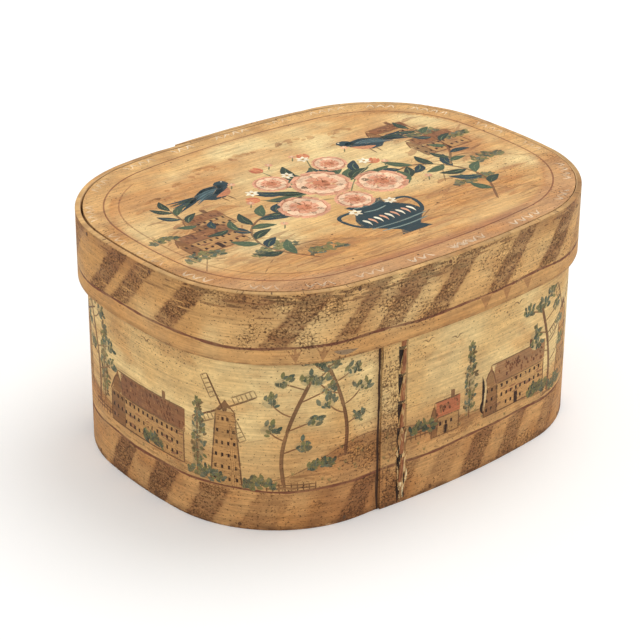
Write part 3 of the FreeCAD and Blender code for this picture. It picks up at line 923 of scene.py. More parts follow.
# %% Model the marks
def make_mark(name, widths, rows=2):
    """A mark two units long and at most two wide, narrowed to a width at each column."""
    columns = len(widths) - 1
    mark = new_grid("mark_" + name, columns, rows, size=2)
    along, across = points_of(mark, unit=1)[:, :2].T
    store(mark, edge=np.minimum(1 - np.abs(across), (1 - np.abs(along)) * columns * 0.4))
    for column, width in enumerate(widths):
        place = 2 * column / columns - 1
        bpy.ops.object.mode_set(mode="EDIT")
        bpy.ops.mesh.select_all(action="DESELECT")
        bpy.ops.object.mode_set(mode="OBJECT")
        for vertex in mark.data.vertices:
            vertex.select = abs(vertex.co.x - place) < 0.01
        bpy.ops.object.mode_set(mode="EDIT")
        bpy.ops.transform.resize(value=(1, width, 1), center_override=(place, 0, 0))
        bpy.ops.object.mode_set(mode="OBJECT")
    return mark


bpy.context.tool_settings.mesh_select_mode = (True, False, False)
MARKS = {
    "line": make_mark("line", [0.45, 0.9] + [1.0] * 12 + [0.85, 0.35]),
    "leaf": make_mark("leaf", [0.08, 0.62, 0.95, 1.0, 0.82, 0.50, 0.12]),
    "dash": make_mark("dash", [0.5, 1.0, 1.0, 0.9, 0.4]),
    "comma": make_mark("comma", [0.40, 0.92, 1.0, 0.80, 0.55, 0.34, 0.15]),
    "dab": make_mark("dab", [0.38, 0.98, 0.96, 0.34]),
    "short": make_mark("short", [0.5, 0.95, 1.0, 1.0, 1.0, 0.9, 0.4]),
    "block": make_mark("block", [1.0] * 6, rows=4),
    "wall": make_mark("wall", [1.0] * 25, rows=3),
    "wedge": make_mark("wedge", [1.0, 0.80, 0.60, 0.40, 0.20, 0.05]),
    "jar": make_mark("jar", [0.52, 0.34, 0.62, 0.92, 1.0, 0.94, 0.72, 0.50, 0.62], rows=4),
}


# %% Keep a list of marks to lay
def smooth_path(path):
    """A path with its corners cut, as a hand would."""
    points = np.array(path, dtype=float)
    for _ in range(3 if len(points) > 2 else 0):
        cut = np.stack([points[:-1] * 0.75 + points[1:] * 0.25,
                        points[:-1] * 0.25 + points[1:] * 0.75], axis=1)
        points = np.concatenate([points[:1], cut.reshape(-1, 2), points[-1:]])
    return points


def reach_along(points):
    """The distance from a path's start to each of its points."""
    return np.concatenate([[0], np.cumsum(np.linalg.norm(np.diff(points, axis=0), axis=1))])


def spot_on(points, reach, share):
    """The places on a path at given distances from its start."""
    return np.stack([np.interp(share, reach, points[:, axis]) for axis in (0, 1)], axis=1)


def polar(x, y, turn, far):
    return (x + far * math.cos(turn), y + far * math.sin(turn))


class Painting:
    """Brush marks in the order in which they are painted. Places and widths are in millimetres."""
    LONGEST = 52.0              # a longer line is drawn in several pulls
    SHORTEST = 26.0             # a shorter line needs fewer columns
    DASH = 14.0
    THINNEST = 1.15             # a finer line wouldn't show at the photograph's distance

    def __init__(self, seed):
        self.marks = []
        self.chance = np.random.default_rng(seed)

    def stroke(self, path, width, tint, cover=0.85, mark="line"):
        """One mark along a path of points."""
        width = max(width, self.THINNEST)
        points = smooth_path(path)
        reach = reach_along(points)
        if mark == "line" and reach[-1] < self.SHORTEST:
            mark = "dash" if len(path) == 2 and reach[-1] < self.DASH else "short"
        if mark == "block" and reach[-1] > self.DASH:
            mark = "wall"
        pulls = math.ceil(reach[-1] / self.LONGEST) if mark == "line" else 1
        for pull in range(pulls):
            start, stop = (pull - 0.04) / pulls, (pull + 1.04) / pulls
            lighter = self.some(0.88, 1.12)
            thinned = cover * self.some(0.88, 1.05) if cover < 0.95 else 1.0
            shade = np.array([*(np.array(colour(tint)[:3]) * lighter), thinned])
            self.marks.append((points, reach, max(start, 0), min(stop, 1), width, shade, mark))

    def pen(self, right, up):
        """A stroke function whose paths are given from one place."""
        return lambda path, *look: self.stroke([(right + x, up + y) for x, y in path], *look)

    def near(self, spread):
        return self.chance.normal(0, spread)

    def some(self, least, most):
        return self.chance.uniform(least, most)

    def one_of(self, tints):
        return tints[self.chance.integers(len(tints))]


def parted(spot, polygons, breaks):
    """A mark's points and faces, in two parts where it would cross a strip's end."""
    if breaks is None or not spot[:, 0].min() < breaks < spot[:, 0].max():
        return [(spot, polygons)]
    parts = []
    for limit, clip in ((breaks - 0.5, np.minimum), (breaks + 0.3, np.maximum)):
        laid = np.column_stack([clip(spot[:, 0], limit), spot[:, 1]])
        kept = [face for face in polygons if np.ptp(laid[face, 0]) > 0.02]
        if kept:
            parts.append((laid, kept))
    return parts


def lay(name, painting, place, wash, breaks=None, levels=(0.015, 0.09), map_axes=(0, 2)):
    """Copies of the marks, laid in one mesh. Each lies a little higher than the one before it."""
    shapes = {}
    for key, mark in MARKS.items():
        edge = np.zeros(len(mark.data.vertices))
        mark.data.attributes["edge"].data.foreach_get("value", edge)
        shapes[key] = (points_of(mark, unit=1)[:, :2], edge,
                       [list(face.vertices) for face in mark.data.polygons])
    points, faces, edges, paints = [], [], [], []
    count = 0
    for number, (path, reach, start, stop, width, shade, key) in enumerate(painting.marks):
        flat, edge, polygons = shapes[key]
        level = levels[0] + (levels[1] - levels[0]) * number / len(painting.marks)
        share = (start + (stop - start) * (flat[:, 0] + 1) / 2) * reach[-1]
        span = max(reach[-1] * 0.02, 0.05)
        ahead = spot_on(path, reach, share + span) - spot_on(path, reach, share - span)
        tangent = ahead / np.linalg.norm(ahead, axis=1, keepdims=True)
        left = np.stack([-tangent[:, 1], tangent[:, 0]], axis=1)
        spot = spot_on(path, reach, share) + left * flat[:, 1:] * width / 2
        for laid, kept in parted(spot, polygons, breaks):
            points.append(np.column_stack([laid, np.full(len(laid), level)]))
            faces += [[corner + count for corner in face] for face in kept]
            edges.append(edge)
            paints.append(np.tile(shade, (len(laid), 1)))
            count += len(laid)
    points = np.concatenate(points)
    mesh = bpy.data.meshes.new(name)
    mesh.from_pydata(place(points) * MM, [], faces)
    piece = bpy.data.objects.new(name, mesh)
    bpy.context.scene.collection.objects.link(piece)
    store(piece, edge=np.concatenate(edges), paint=np.concatenate(paints), wash=wash(points), grime=0)
    edit_all(piece, bpy.ops.mesh.delete_loose, use_verts=True, use_edges=False, use_faces=False)
    store_map(piece, *points_of(piece).T[list(map_axes)])
    print(f"{name}: {len(painting.marks)} marks, {len(mesh.polygons)} faces")
    return piece

# %% [markdown]
# ## The landscape round the box
# The painted scene is a friendly, ordinary country view: low hills, farmhouses with tiled roofs, windmills,
# thin leaning trees with dabbed leaves, poplars, bushes, fences and birds. Each motif is a short function,
# drawn the way a painter would: the solid shapes first, then the lines, then the small touches.

# %% Motifs for the landscape
TRUNK, OUTLINE, TILE, TILE_DARK = "#6E4428", "#54301C", "#8E5B38", "#653A22"
TEAL, TEAL_DARK, OLIVE = "#536150", "#38483A", "#6C6B40"
WALL, WALL_SHADE, WINDOW = "#B4854E", "#83562F", "#351F12"
ROOF_TOUCHES, WALL_TOUCH = (TILE_DARK, "#744528", "#99683F"), "#946540"


def leaves(painting, along, up, reach, count, tints=(TEAL, TEAL_DARK, OLIVE), long=6.0):
    """A loose cluster of leaf dabs, on a soft patch of their colour."""
    if reach > 5:
        patch = [(along - reach * 0.9, up), (along + reach * 0.9, up + painting.near(1))]
        painting.stroke(patch, reach * 1.3, tints[0], 0.34, "dab")
    for _ in range(count):
        turn = painting.some(0, 2 * math.pi)
        far = reach * math.sqrt(painting.some(0, 1))
        x, y = along + far * math.cos(turn), up + 0.7 * far * math.sin(turn)
        lean = painting.some(-0.6, 2.2)
        size = long * painting.some(0.7, 1.2)
        painting.stroke([(x, y), polar(x, y, lean, size)], size * 0.55, painting.one_of(tints), 0.94, "dab")


def tree(painting, along, up, tall, lean):
    """A thin tree that leans, with boughs to both sides that end in leaves."""
    trunk = [(along, up), (along - lean * 0.15, up + tall * 0.3), (along + lean * 0.25, up + tall * 0.65),
             (along + lean, up + tall)]
    painting.stroke([(along - 8, up - 1.5), (along, up + 0.5), (along + 9, up - 1.8)], 2.2, TRUNK, 0.7)
    painting.stroke(trunk, 3.3, TRUNK, 0.88)
    painting.stroke([(x + 1.0, y) for x, y in trunk], 1.2, OUTLINE, 0.85)
    line = smooth_path(trunk)
    for number in range(7):
        x, y = line[int(len(line) * (0.38 + 0.09 * number))]
        side = -1 if number % 2 else 1
        long = tall * painting.some(0.13, 0.24)
        tip = (x + side * long, y + long * painting.some(0.2, 0.9))
        painting.stroke([(x, y), ((x + tip[0]) / 2, y + 0.2 * long), tip], 1.3, TRUNK, 0.85)
        leaves(painting, *tip, 7.0, 12)
    leaves(painting, *line[-1], 9.0, 18)


def poplar(painting, along, up, tall):
    """A tall narrow tree, all upward dabs."""
    painting.stroke([(along, up), (along + 0.5, up + tall)], 1.6, TRUNK, 0.8)
    for number in range(int(tall * 0.62)):
        high = tall * (0.12 + 0.86 * number / (tall * 0.62))
        wide = 5.6 * math.sin(math.pi * min(0.96, 0.18 + 0.8 * high / tall)) + 0.8
        leaves(painting, along, up + high, wide, 2, (TEAL, OLIVE, "#5E4C30"), 5.4)


def bush(painting, along, up, wide):
    for _ in range(int(wide * 2.0)):
        place = painting.some(-0.5, 0.5)
        high = (0.38 - place * place) * wide * painting.some(0.1, 1.0)
        leaves(painting, along + place * wide, up + high, 1.5, 1, (TEAL, TEAL_DARK, OLIVE, OLIVE), 5.6)


def farmhouse(painting, along, up, wide, tall, roof, tile=TILE):
    """A long wall, a gable end in shade and a tiled roof, then windows in rows and the outlines."""
    draw = painting.pen(along, up)
    gable, ridge, door = wide * 0.26, tall + roof, wide * 0.4
    rows = max(1, int(tall / 9))
    draw([(-gable, tall / 2), (0, tall / 2)], tall, WALL_SHADE, 0.92, "block")
    draw([(0, tall / 2), (wide, tall / 2 + 0.5)], tall, WALL, 0.92, "block")
    draw([(-gable / 2, tall - 0.5), (-gable / 2, ridge)], gable, WALL_SHADE, 0.92, "wedge")
    draw([(-gable * 0.25, tall + roof / 2), (wide + 1.5, tall + roof / 2)], roof, tile, 0.92, "block")
    for number in range(int(wide * roof / 18)):
        x, y = painting.some(0, wide), tall + painting.some(1, roof - 3)
        draw([(x, y), (x - 1, y + 3.5)], painting.some(1.2, 2.4), ROOF_TOUCHES[number % 3], 1.0)
    for _ in range(int(wide * tall / 90)):
        x, y = painting.some(-gable, wide - 8), painting.some(1, tall)
        draw([(x, y), (x + 9, y + painting.near(1))], painting.some(1.2, 3.0), WALL_TOUCH, 1.0)
    draw([(-1, tall), (-gable / 2, ridge + 0.5), (-gable - 1.5, tall - 1)], 1.6, TILE_DARK, 0.9)
    draw([(-0.5, tall), (wide + 1.5, tall)], 1.4, OUTLINE, 0.85)
    draw([(-gable / 2, ridge), (wide + 1, ridge)], 1.3, OUTLINE, 0.85)
    draw([(wide * 0.7, ridge - 1), (wide * 0.7, ridge + 7)], 4.4, TILE_DARK, 0.9, "block")
    for row in range(rows):
        high = tall * (row + 0.62) / rows
        for x in np.arange(3.5 - gable, wide - 2, 6.2):
            draw([(x + painting.near(0.3), high - 1.7), (x, high + 1.7)], 2.3, WINDOW, 1.0, "block")
    draw([(door, 0), (door, min(tall / 2, 11))], 4.6, WINDOW, 1.0, "block")
    for x in (-gable, 0, wide):
        draw([(x, -0.5), (x + painting.near(0.2), tall)], 1.3, OUTLINE, 0.85)
    draw([(-gable - 1, 0), (wide + 1, 0)], 1.4, OUTLINE, 0.8)


def windmill(painting, along, up, tall):
    """A round brick mill, narrower at the top, with four latticed sails."""
    draw, sail = painting.pen(along, up), painting.pen(along - 2, up + tall + 3)
    for level in range(6):
        high, wide = tall * level / 6, 27 - 1.9 * level
        middle, thick = high + tall / 12, tall / 6 + 2
        draw([(-wide / 2, middle), (wide / 2, middle)], thick, WALL, 1.0, "block")
        draw([(wide * 0.12, middle), (wide / 2, middle)], thick, WALL_SHADE, 1.0, "block")
        for number in range(4):
            x = wide * (0.24 * number - 0.36)
            draw([(x, high + 3), (x, high + 6.4)], 2.0, WINDOW, 1.0, "block")
    for side in (-1, 1):
        draw([(side * 13.8, -1), (side * 8, tall + 1)], 1.4, OUTLINE, 0.85)
    draw([(0, tall), (0, tall + 11)], 19, TILE_DARK, 0.9, "wedge")
    for turn in (0.45, 2.02, 3.59, 5.16):
        spar = [polar(0, 0, turn, 4 * number) for number in range(9)]
        edge = [polar(*foot, turn + QUARTER, 6.5) for foot in spar]
        sail([spar[0], spar[8]], 1.6, OUTLINE, 0.9)
        for number in range(3, 9):
            sail([spar[number], edge[number]], 1.15, OUTLINE, 0.6)
        sail([polar(*polar(0, 0, turn, 11), turn + QUARTER, 6.5), edge[8]], 1.15, OUTLINE, 0.7)


def fence(painting, along, up, wide):
    draw = painting.pen(along, up)
    for number in range(int(wide / 5) + 1):
        draw([(5 * number, 0), (5 * number + painting.near(0.3), 8 + painting.near(0.6))], 1.0, OUTLINE, 0.8)
    for high in (3, 6):
        draw([(-1, high), (wide / 2, high + 0.4), (wide + 1, high)], 0.8, OUTLINE, 0.75)


def bird(painting, along, up, size):
    draw = painting.pen(along, up)
    draw([(0, 0), (-size * 0.5, size * 0.45), (-size, size * 0.25)], 0.9, OUTLINE, 0.75, "comma")
    draw([(0, 0), (size * 0.45, size * 0.5), (size, size * 0.3)], 0.9, OUTLINE, 0.75, "comma")


def ground_touches(painting, first, last, count):
    """Grass tufts and slanted brown hatching on the near hills."""
    for _ in range(count):
        x = painting.some(first, last)
        y = painting.some(FOOT_LINE + 3, float(near_hill_top(x)))
        if painting.some(0, 1) < 0.35:
            for lean in (-0.5, 0.1, 0.6):
                painting.stroke([(x, y), (x + lean * 3, y + 3.4)], 0.8, OLIVE, 0.6, "comma")
        else:
            long = painting.some(6, 16)
            painting.stroke([(x, y), (x + long, y + painting.near(1.4))], painting.some(1.2, 2.6),
                            painting.one_of(("#84542C", "#A06A38", "#6E4526")), 0.40)


# %% Paint the landscape
scenery, buildings, foliage, lap = Painting(4), Painting(5), Painting(6), Painting(8)
HALF = BOX.length / 2
FARMS = ((-520, 74, 26, 19), (-330, 78, 29, 21), (52, 62, 27, 20), (196, 66, 24, 19), (330, 76, 27, 20),
         (500, 62, 24, 18))
MILLS = ((-404, 62), (-212, 66), (150, 64), (436, 60), (590, 62))
POPLARS = (-432, -362, -238, 18, 178, 296, 462, 478)
TREES = ((-560, 84, 15), (-372, 92, -17), (-164, 96, 22), (-112, 84, -16), (122, 88, -14), (284, 90, 18),
         (414, 84, -14), (612, 80, 12))
BUSHES = ((-545, 30), (-452, 34), (-292, 24), (-232, 32), (-186, 26), (-134, 22), (-34, 24), (106, 30),
          (134, 22), (268, 26), (316, 24), (448, 28), (572, 26))
FENCES = ((-380, 30), (-178, 40), (-66, 44), (240, 30), (375, 20), (560, 30))
BIRDS = ((-480, 144), (-462, 137), (-296, 143), (-148, 150), (-30, 142), (2, 136), (76, 143), (230, 138),
         (360, 142), (540, 140))


def on_hill(place, below):
    """The height that lies that far below the near hill's top."""
    return float(near_hill_top(place)) - below


scenery.stroke([(x, on_hill(x, 0)) for x in np.arange(-HALF, HALF, 9)], 1.1, OUTLINE, 0.55)
scenery.stroke([(x, float(far_hill_top(x)) + 1) for x in np.arange(-HALF, HALF, 11)], 0.9, "#94683F", 0.35)
ground_touches(scenery, -HALF, HALF, 560)
for place, wide, tall, roof in FARMS:
    farmhouse(buildings, place, on_hill(place + wide / 2, 9), wide, tall, roof)
farmhouse(buildings, -18, on_hill(-4, 13), 24, 17, 15, "#B0623C")
for place, tall in MILLS:
    windmill(buildings, place, on_hill(place, 7), tall)
for place in POPLARS:
    poplar(foliage, place, on_hill(place, 5), 66 + foliage.near(6))
for place, tall, lean in TREES:
    tree(foliage, place, on_hill(place, 9), tall, lean)
for place, wide in BUSHES:
    bush(foliage, place, on_hill(place, 8), wide)
for place, wide in FENCES:
    fence(buildings, place, on_hill(place + wide / 2, 15), wide)
for place, high in BIRDS:
    bird(scenery, place, high, 7)

# %% [markdown]
# ## Where the lap opens
# The strip's outer end has crept a little, so a dark uneven line of painted shade shows in the gap beside it,
# and the ground darkens towards that edge. On the narrow strip between this end and the lacing the paint has
# shrunk into many small upright cracks. To the left of each stitch the slit shows as a dark wedge of painted
# shade, with a dab of painted shade across it, and a faint line of painted shade runs down the lacing's right
# side. Right of the lacing the wood has a short upright split.

# %% Paint the lap's shadows
LACE_IN = 21.0              # from a strip's outer end to the middle of its lacing
LACE = BOX.seam + LACE_IN
SLITS = [20 + 25 * number for number in range(8)]
# GAP_SHADE is painted shade for slits and gaps. The crack brown also paints the shade beside the lacing.
GAP_SHADE, CRACK_AND_SHADE_BROWN, SPLIT_DARK = "#2A1A10", "#5A3A22", "#22150C"

# Painted shade: dark uneven lines in the gap beside the strip's outer end.
for low, high in ((1, 46), (40, 92), (88, 130), (126, 160)):
    middle = BOX.seam - 1.5 + lap.near(0.3)
    lap.stroke([(middle - 0.3, low), (middle + lap.near(0.7), (low + high) / 2), (middle, high)],
               lap.some(1.8, 3.4), "#452C1A", 1.0, "leaf")
for low in range(0, 156, 26):
    lap.stroke([(BOX.seam - 1.7, low), (BOX.seam - 2.0 + lap.near(0.2), low + 14),
                (BOX.seam - 1.7, low + 29)], lap.some(1.3, 2.3), "#3A2415", 1.0)
for _ in range(170):
    x, y = BOX.seam + lap.some(2, 17), lap.some(6, 160)
    lap.stroke([(x, y), (x + lap.near(0.3), y + lap.some(1.8, 4.0))], 1.2, CRACK_AND_SHADE_BROWN,
               lap.some(0.35, 0.7), "dab")
# Painted shade for each slit: a dark wedge left of the stitch and a dark dab across it.
for slit in SLITS:
    lap.stroke([(LACE - 1.6, slit + 1.4), (LACE - 2.9, slit - 6), (LACE - 3.6, slit - 19)], 6.4,
               "#1F130B", 1.0, "wedge")
    lap.stroke([(LACE - 4.6, slit - 0.5), (LACE + 3.6, slit + 1.0)], 3.0, GAP_SHADE, 0.85, "dab")
# A faint line of painted shade down the lacing's right side.
lap.stroke([(LACE + 3.6, 14), (LACE + 4.0, 100), (LACE + 3.6, 160)], 1.6, CRACK_AND_SHADE_BROWN, 0.5)
lap.stroke([(36.6, 88), (38.0, 74), (36.0, 55)], 2.8, "#D2B27E", 0.9, "leaf")
lap.stroke([(33.4, 89), (35.6, 77), (34.2, 58)], 3.2, SPLIT_DARK, 1.0, "leaf")
lap.stroke([(34.0, 66), (32.4, 57), (35.6, 53)], 3.2, SPLIT_DARK, 1.0, "leaf")


def on_strip(strip, points, lowest=0.0):
    """Marks on a strip's painted face, while it is flat. None reaches below the lowest height."""
    along, up, level = points.T
    along, up = strip.strip_place(along), np.maximum(up, lowest)
    return np.stack([along, strip.outer(along, up) - level, up], axis=1)


def ground_of(strip, wash, points):
    """The wash of the strip that the marks lie on."""
    return wash(strip.strip_place(points[:, 0]), points[:, 1])


box_ground = functools.partial(ground_of, BOX, box_wash)
box_marks = [lay(name, painting, functools.partial(on_strip, BOX, lowest=0.3), box_ground, BOX.seam, levels)
             for name, painting, levels in (("box_ground_marks", scenery, (0.008, 0.020)),
                                            ("box_building_marks", buildings, (0.024, 0.050)),
                                            ("box_foliage_marks", foliage, (0.053, 0.078)),
                                            ("box_lap_marks", lap, (0.050, 0.100)))]

# %% [markdown]
# ## The lid's marks
# The top has a folk bouquet: a dark jar with salmon roses, tulips, small white blossoms and long dark leaves,
# and two birds on boughs. Comma strokes make clouds at the back and ground at the front and both ends, with
# small farmhouses and shrubs. A red-brown oval line frames it, and the ochre border outside has rows of faint
# white commas, which is common ornament.

# %% Motifs for the lid
SALMON, SALMON_LIGHT, SALMON_DARK = "#D89A78", "#E6BE9A", "#BE7450"
LEAF, LEAF_DARK, NIGHT = LEAF_TINTS = "#495A40", "#303F33", "#253A40"
CHALK = "#F0E4C8"
ROSE_RINGS = ((0.36, 9, 0.46, SALMON), (0.30, 8, 0.40, SALMON_LIGHT), (0.19, 6, 0.32, SALMON),
              (0.09, 4, 0.22, SALMON_DARK))


def leaf(painting, x, y, turn, long, wide, tint=LEAF):
    """A pointed leaf with a light rib."""
    middle = polar(*polar(x, y, turn, long / 2), turn + QUARTER, long / 8)
    painting.stroke([(x, y), middle, polar(x, y, turn, long)], wide, tint, 1.0, "leaf")
    painting.stroke([polar(x, y, turn, long * 0.12), middle, polar(x, y, turn, long * 0.8)], 1.2,
                    "#6E7A58", 1.0, "comma")


def rose(painting, x, y, wide):
    """A full rose: outer petals, inner petals turned the other way, and a dark heart."""
    def at(turn, far):
        return polar(x, y, turn, wide * far)

    for ring, (far, count, size, tint) in enumerate(ROSE_RINGS):
        for number in range(count):
            turn = 2 * math.pi * (number + 0.4 * ring) / count + painting.near(0.1)
            painting.stroke([at(turn - 0.55, far), at(turn, far * 1.22), at(turn + 0.55, far)],
                            wide * size * 0.62, tint, 0.96, "dab")
    painting.stroke([at(4.0, 0.13), at(0.8, 0.13)], wide * 0.30, "#C87B55", 1.0, "dab")
    for number in range(11):
        turn = 2 * math.pi * number / 11 + painting.near(0.15)
        painting.stroke([at(turn - 0.4, 0.42), at(turn, 0.47), at(turn + 0.4, 0.42)], 1.2, "#C28262", 1.0)
        painting.stroke([at(turn, 0.18), at(turn + 0.35, 0.30)], 1.3, SALMON_DARK, 1.0, "comma")


def tulip(painting, x, y, turn, long):
    top = polar(x, y, turn, long)
    painting.stroke([(x, y), polar(x, y, turn + 0.16, long * 0.55), top], 1.1, LEAF, 0.85)
    for lean, tint in ((-0.55, "#C0613F"), (0.55, "#C0613F"), (0.0, "#D98458")):
        painting.stroke([top, polar(*top, turn + lean, 6), polar(*top, turn + lean * 0.45, 13)], 6.0,
                        tint, 0.9, "leaf")


def garden_bird(painting, x, y, facing, size):
    """A bird seen from the side. facing is 1 if it looks towards +X. It is 56 units long."""
    def draw(path, width, *look):
        painting.stroke([(x + facing * size * right, y + size * back) for right, back in path],
                        width * size, *look)

    for row in range(5):
        draw([(-8, 2 + row), (-20, 4 - row * 1.5), (-35, 6 - row * 3.8)], 4.2, (NIGHT, TEAL_DARK)[row % 2],
             1.0, "comma")
    draw([(-15, 4), (0, 0.5), (13, 9)], 19, NIGHT, 1.0, "leaf")
    draw([(-12, 5), (0, 5), (12, 10)], 13, NIGHT, 1.0, "leaf")
    draw([(7, 7), (12, 11), (16, 14.5)], 10, NIGHT, 1.0, "dab")
    draw([(-3, -4), (6, -3), (12, 4)], 5.5, SALMON_DARK, 0.85, "leaf")
    for row in range(6):
        draw([(6 - 1.4 * row, 7 - row), (-4 - row, 7.5 - 1.6 * row), (-14 - row, 4 - 2 * row)], 2.0,
             ("#5A7275", "#3C5257")[row % 2], 1.0, "comma")
    draw([(17, 14.5), (23, 13)], 2.6, "#B98949", 0.9, "wedge")
    draw([(13.6, 14), (14.9, 14)], 1.4, CHALK, 0.9, "dab")
    for foot in (-1, 4):
        draw([(foot, -6), (foot + 0.8, -14)], 1.4 / size, OUTLINE, 0.85)


def bough(painting, path, count, long, side_start=1):
    """A bent bough with dark leaves to both sides."""
    painting.stroke(path, 2.0, TRUNK, 0.85)
    painting.stroke([(x + 0.5, y - 0.5) for x, y in path], 0.7, OUTLINE, 0.8)
    line = smooth_path(path)
    for number in range(count):
        spot = int((len(line) - 2) * (0.2 + 0.8 * number / count))
        x, y = line[spot]
        ahead = line[min(len(line) - 1, spot + 2)]
        turn = math.atan2(ahead[1] - y, ahead[0] - x)
        side = side_start if number % 2 else -side_start
        leaf(painting, x, y, turn + side * painting.some(0.7, 1.1), long * painting.some(0.75, 1.1),
             long * 0.36, LEAF_TINTS[number % 3])
    leaf(painting, *line[-1], math.atan2(*(line[-1] - line[-3])[::-1]), long, long * 0.36, LEAF_DARK)


def brushed_hill(painting, x, y, wide, tall):
    """A low hill's outline with slanted strokes under it."""
    draw = painting.pen(x, y)
    draw([(-wide / 2, 0), (-wide / 4, tall * 0.8), (0, tall), (wide / 4, tall * 0.75), (wide / 2, 0)], 1.2,
         OUTLINE, 0.6)
    for number in range(int(wide / 5)):
        start = 4.6 * number - wide * 0.4
        high = tall * (0.9 - (2 * start / wide) ** 2)
        draw([(start, high - 2), (start + 9, high - 7 + painting.near(2)), (start + 16, high - 10)],
             painting.some(0.8, 2.2), ("#9A6A3C", "#B07C47", "#875830")[number % 3], 0.45)


# %% Paint the clouds and the ground on the lid's top
bouquet = Painting(7)
CLOUD_TINTS = ("#A0622F", "#B57A3E", "#8C522B")
END_TINTS = ("#9C6034", "#B27238", "#85492A")
CLOUDS = ((-128, 66, 30), (-100, 84, 26), (-62, 96, 30), (-14, 104, 26), (44, 100, 34), (92, 92, 28),
          (150, 56, 22))
HILLS = ((-136, -66, 96, 38), (-96, -96, 106, 26), (134, -50, 96, 40), (74, -100, 130, 24),
         (150, 26, 60, 30))
LOW_TINTS, FINE_TINTS = ("#AE6D36", "#95562F", "#C88F4C"), ("#A06A38", "#80502B", "#C4935A")
SPECK_TINTS = ("#8A5530", "#6E4326", "#A96F3F")


def either_side(painting):
    """Left or right, by chance."""
    return -1 if painting.some(0, 1) < 0.5 else 1


for x, y, wide in CLOUDS:
    for number in range(11):
        turn, far = bouquet.some(-0.5, 3.3), wide * bouquet.some(0.2, 0.6)
        path = [polar(0, 0, turn + 0.35 * step, far * (1 + 0.06 * step)) for step in range(3)]
        bouquet.pen(x, y)([(right, 0.55 * back) for right, back in path], bouquet.some(3.5, 7.0),
                          CLOUD_TINTS[number % 3], bouquet.some(0.40, 0.62), "comma")
for _ in range(64):
    x, y = bouquet.some(-168, 150), bouquet.some(-128, -56)
    if in_oval(x, y, 182, 132, 2.4):
        long = bouquet.some(26, 62)
        bouquet.stroke([(x, y), (x + long / 2, y + 3.5), (x + long, y + bouquet.near(5))],
                       bouquet.some(4.0, 8.5), bouquet.one_of(LOW_TINTS), bouquet.some(0.35, 0.6), "comma")
for _ in range(60):
    x, y = either_side(bouquet) * 136 + bouquet.near(24), bouquet.near(44)
    if in_oval(x, y, 180, 128, 2.6):
        bouquet.stroke([(x, y), (x + 9, y + 5), (x + 24, y + bouquet.near(7))], bouquet.some(3.5, 7.5),
                       bouquet.one_of(END_TINTS), bouquet.some(0.35, 0.6), "comma")
for hill in HILLS:
    brushed_hill(bouquet, *hill)
for _ in range(170):
    x = bouquet.some(-160, 150)
    y = -72 - bouquet.some(0, 52) + 14 * math.sin(x / 47)
    if in_oval(x, y, 184, 134, 2.4):
        long = bouquet.some(12, 40)
        bouquet.stroke([(x, y), (x + long / 2, y + 1.5), (x + long, y + bouquet.near(2.5))],
                       bouquet.some(1.2, 3.4), bouquet.one_of(FINE_TINTS), 0.42, "comma")
for _ in range(130):
    side = either_side(bouquet)
    x, y = side * 150 + bouquet.near(20), (-18 if side < 0 else 12) + bouquet.near(26)
    if in_oval(x, y, 182, 130, 2.6):
        bouquet.stroke([(x, y), (x + bouquet.near(9), y + bouquet.near(5))], bouquet.some(1.2, 3.0),
                       bouquet.one_of(SPECK_TINTS), 0.5)
for x, y, wide, tall in ((-136, -4, 30, 18), (-162, -38, 44, 22), (112, 52, 36, 17), (126, 4, 42, 22)):
    farmhouse(bouquet, x, y, wide, tall, tall * 0.7, "#8A5430")
for shrub in ((-168, -48, 34), (-116, -72, 40), (-84, -98, 34), (152, -36, 36), (108, -66, 40), (168, 20, 26),
              (-176, -2, 24), (146, 42, 30)):
    bush(bouquet, *shrub)

# %% Paint the birds, the jar and the flowers
bough(bouquet, [(-96, -102), (-122, -62), (-112, -26), (-84, -8), (-62, -12)], 13, 27)
bough(bouquet, [(96, -104), (124, -62), (116, -24), (90, -2), (66, -6)], 13, 27, -1)
bough(bouquet, [(116, -24), (148, 12), (144, 62)], 8, 21)
bough(bouquet, [(-112, -26), (-142, 12), (-136, 48)], 8, 21)
garden_bird(bouquet, -84, 52, 1, 1.35)
garden_bird(bouquet, 90, 56, -1, 1.35)

for number in range(30):
    turn = math.pi * number / 29 + bouquet.near(0.08)
    base = polar(0, -12, turn, bouquet.some(26, 50))
    leaf(bouquet, *base, turn + bouquet.near(0.3), bouquet.some(24, 33), 10.5, LEAF_TINTS[number % 3])
for turn, long in ((0.62, 78), (1.30, 92), (1.84, 92), (2.55, 76)):
    tulip(bouquet, 0, -24, turn, long)
bouquet.stroke([(0, -110), (0, -40)], 64, NIGHT, 1.0, "jar")
for high, wide in ((-45, 15), (-56, 12), (-86, 30), (-94, 25)):
    bouquet.stroke([(-wide, high), (0, high - 3), (wide, high)], 1.6, "#7F8F86", 1.0)
for number in range(9):
    x = 6 * number - 24
    bouquet.stroke([(x, -68), (x + 2, -74), (x + 0.5, -80)], 3.2, (CHALK, SALMON)[number % 2], 1.0, "comma")
for side in (-1, 1):
    bouquet.stroke([(side * 16, -50), (side * 40, -50), (side * 38, -72), (side * 28, -84)], 3.6, NIGHT, 1.0)
for flower in ((-44, -16, 44), (44, -14, 46), (0, 14, 52), (0, -30, 34), (-34, 40, 32), (34, 44, 31)):
    rose(bouquet, *flower)
for x, y in ((-60, 34), (-18, -52), (22, 66), (62, 30), (-12, 46), (22, -50)):
    for number in range(6):
        turn = number * math.pi / 3 + bouquet.near(0.1)
        bouquet.stroke([(x, y), polar(x, y, turn, 6.5)], 3.6, CHALK, 0.9, "leaf")
    bouquet.stroke([(x - 1.4, y), (x + 1.4, y)], 2.6, "#C08A3C", 1.0, "dab")
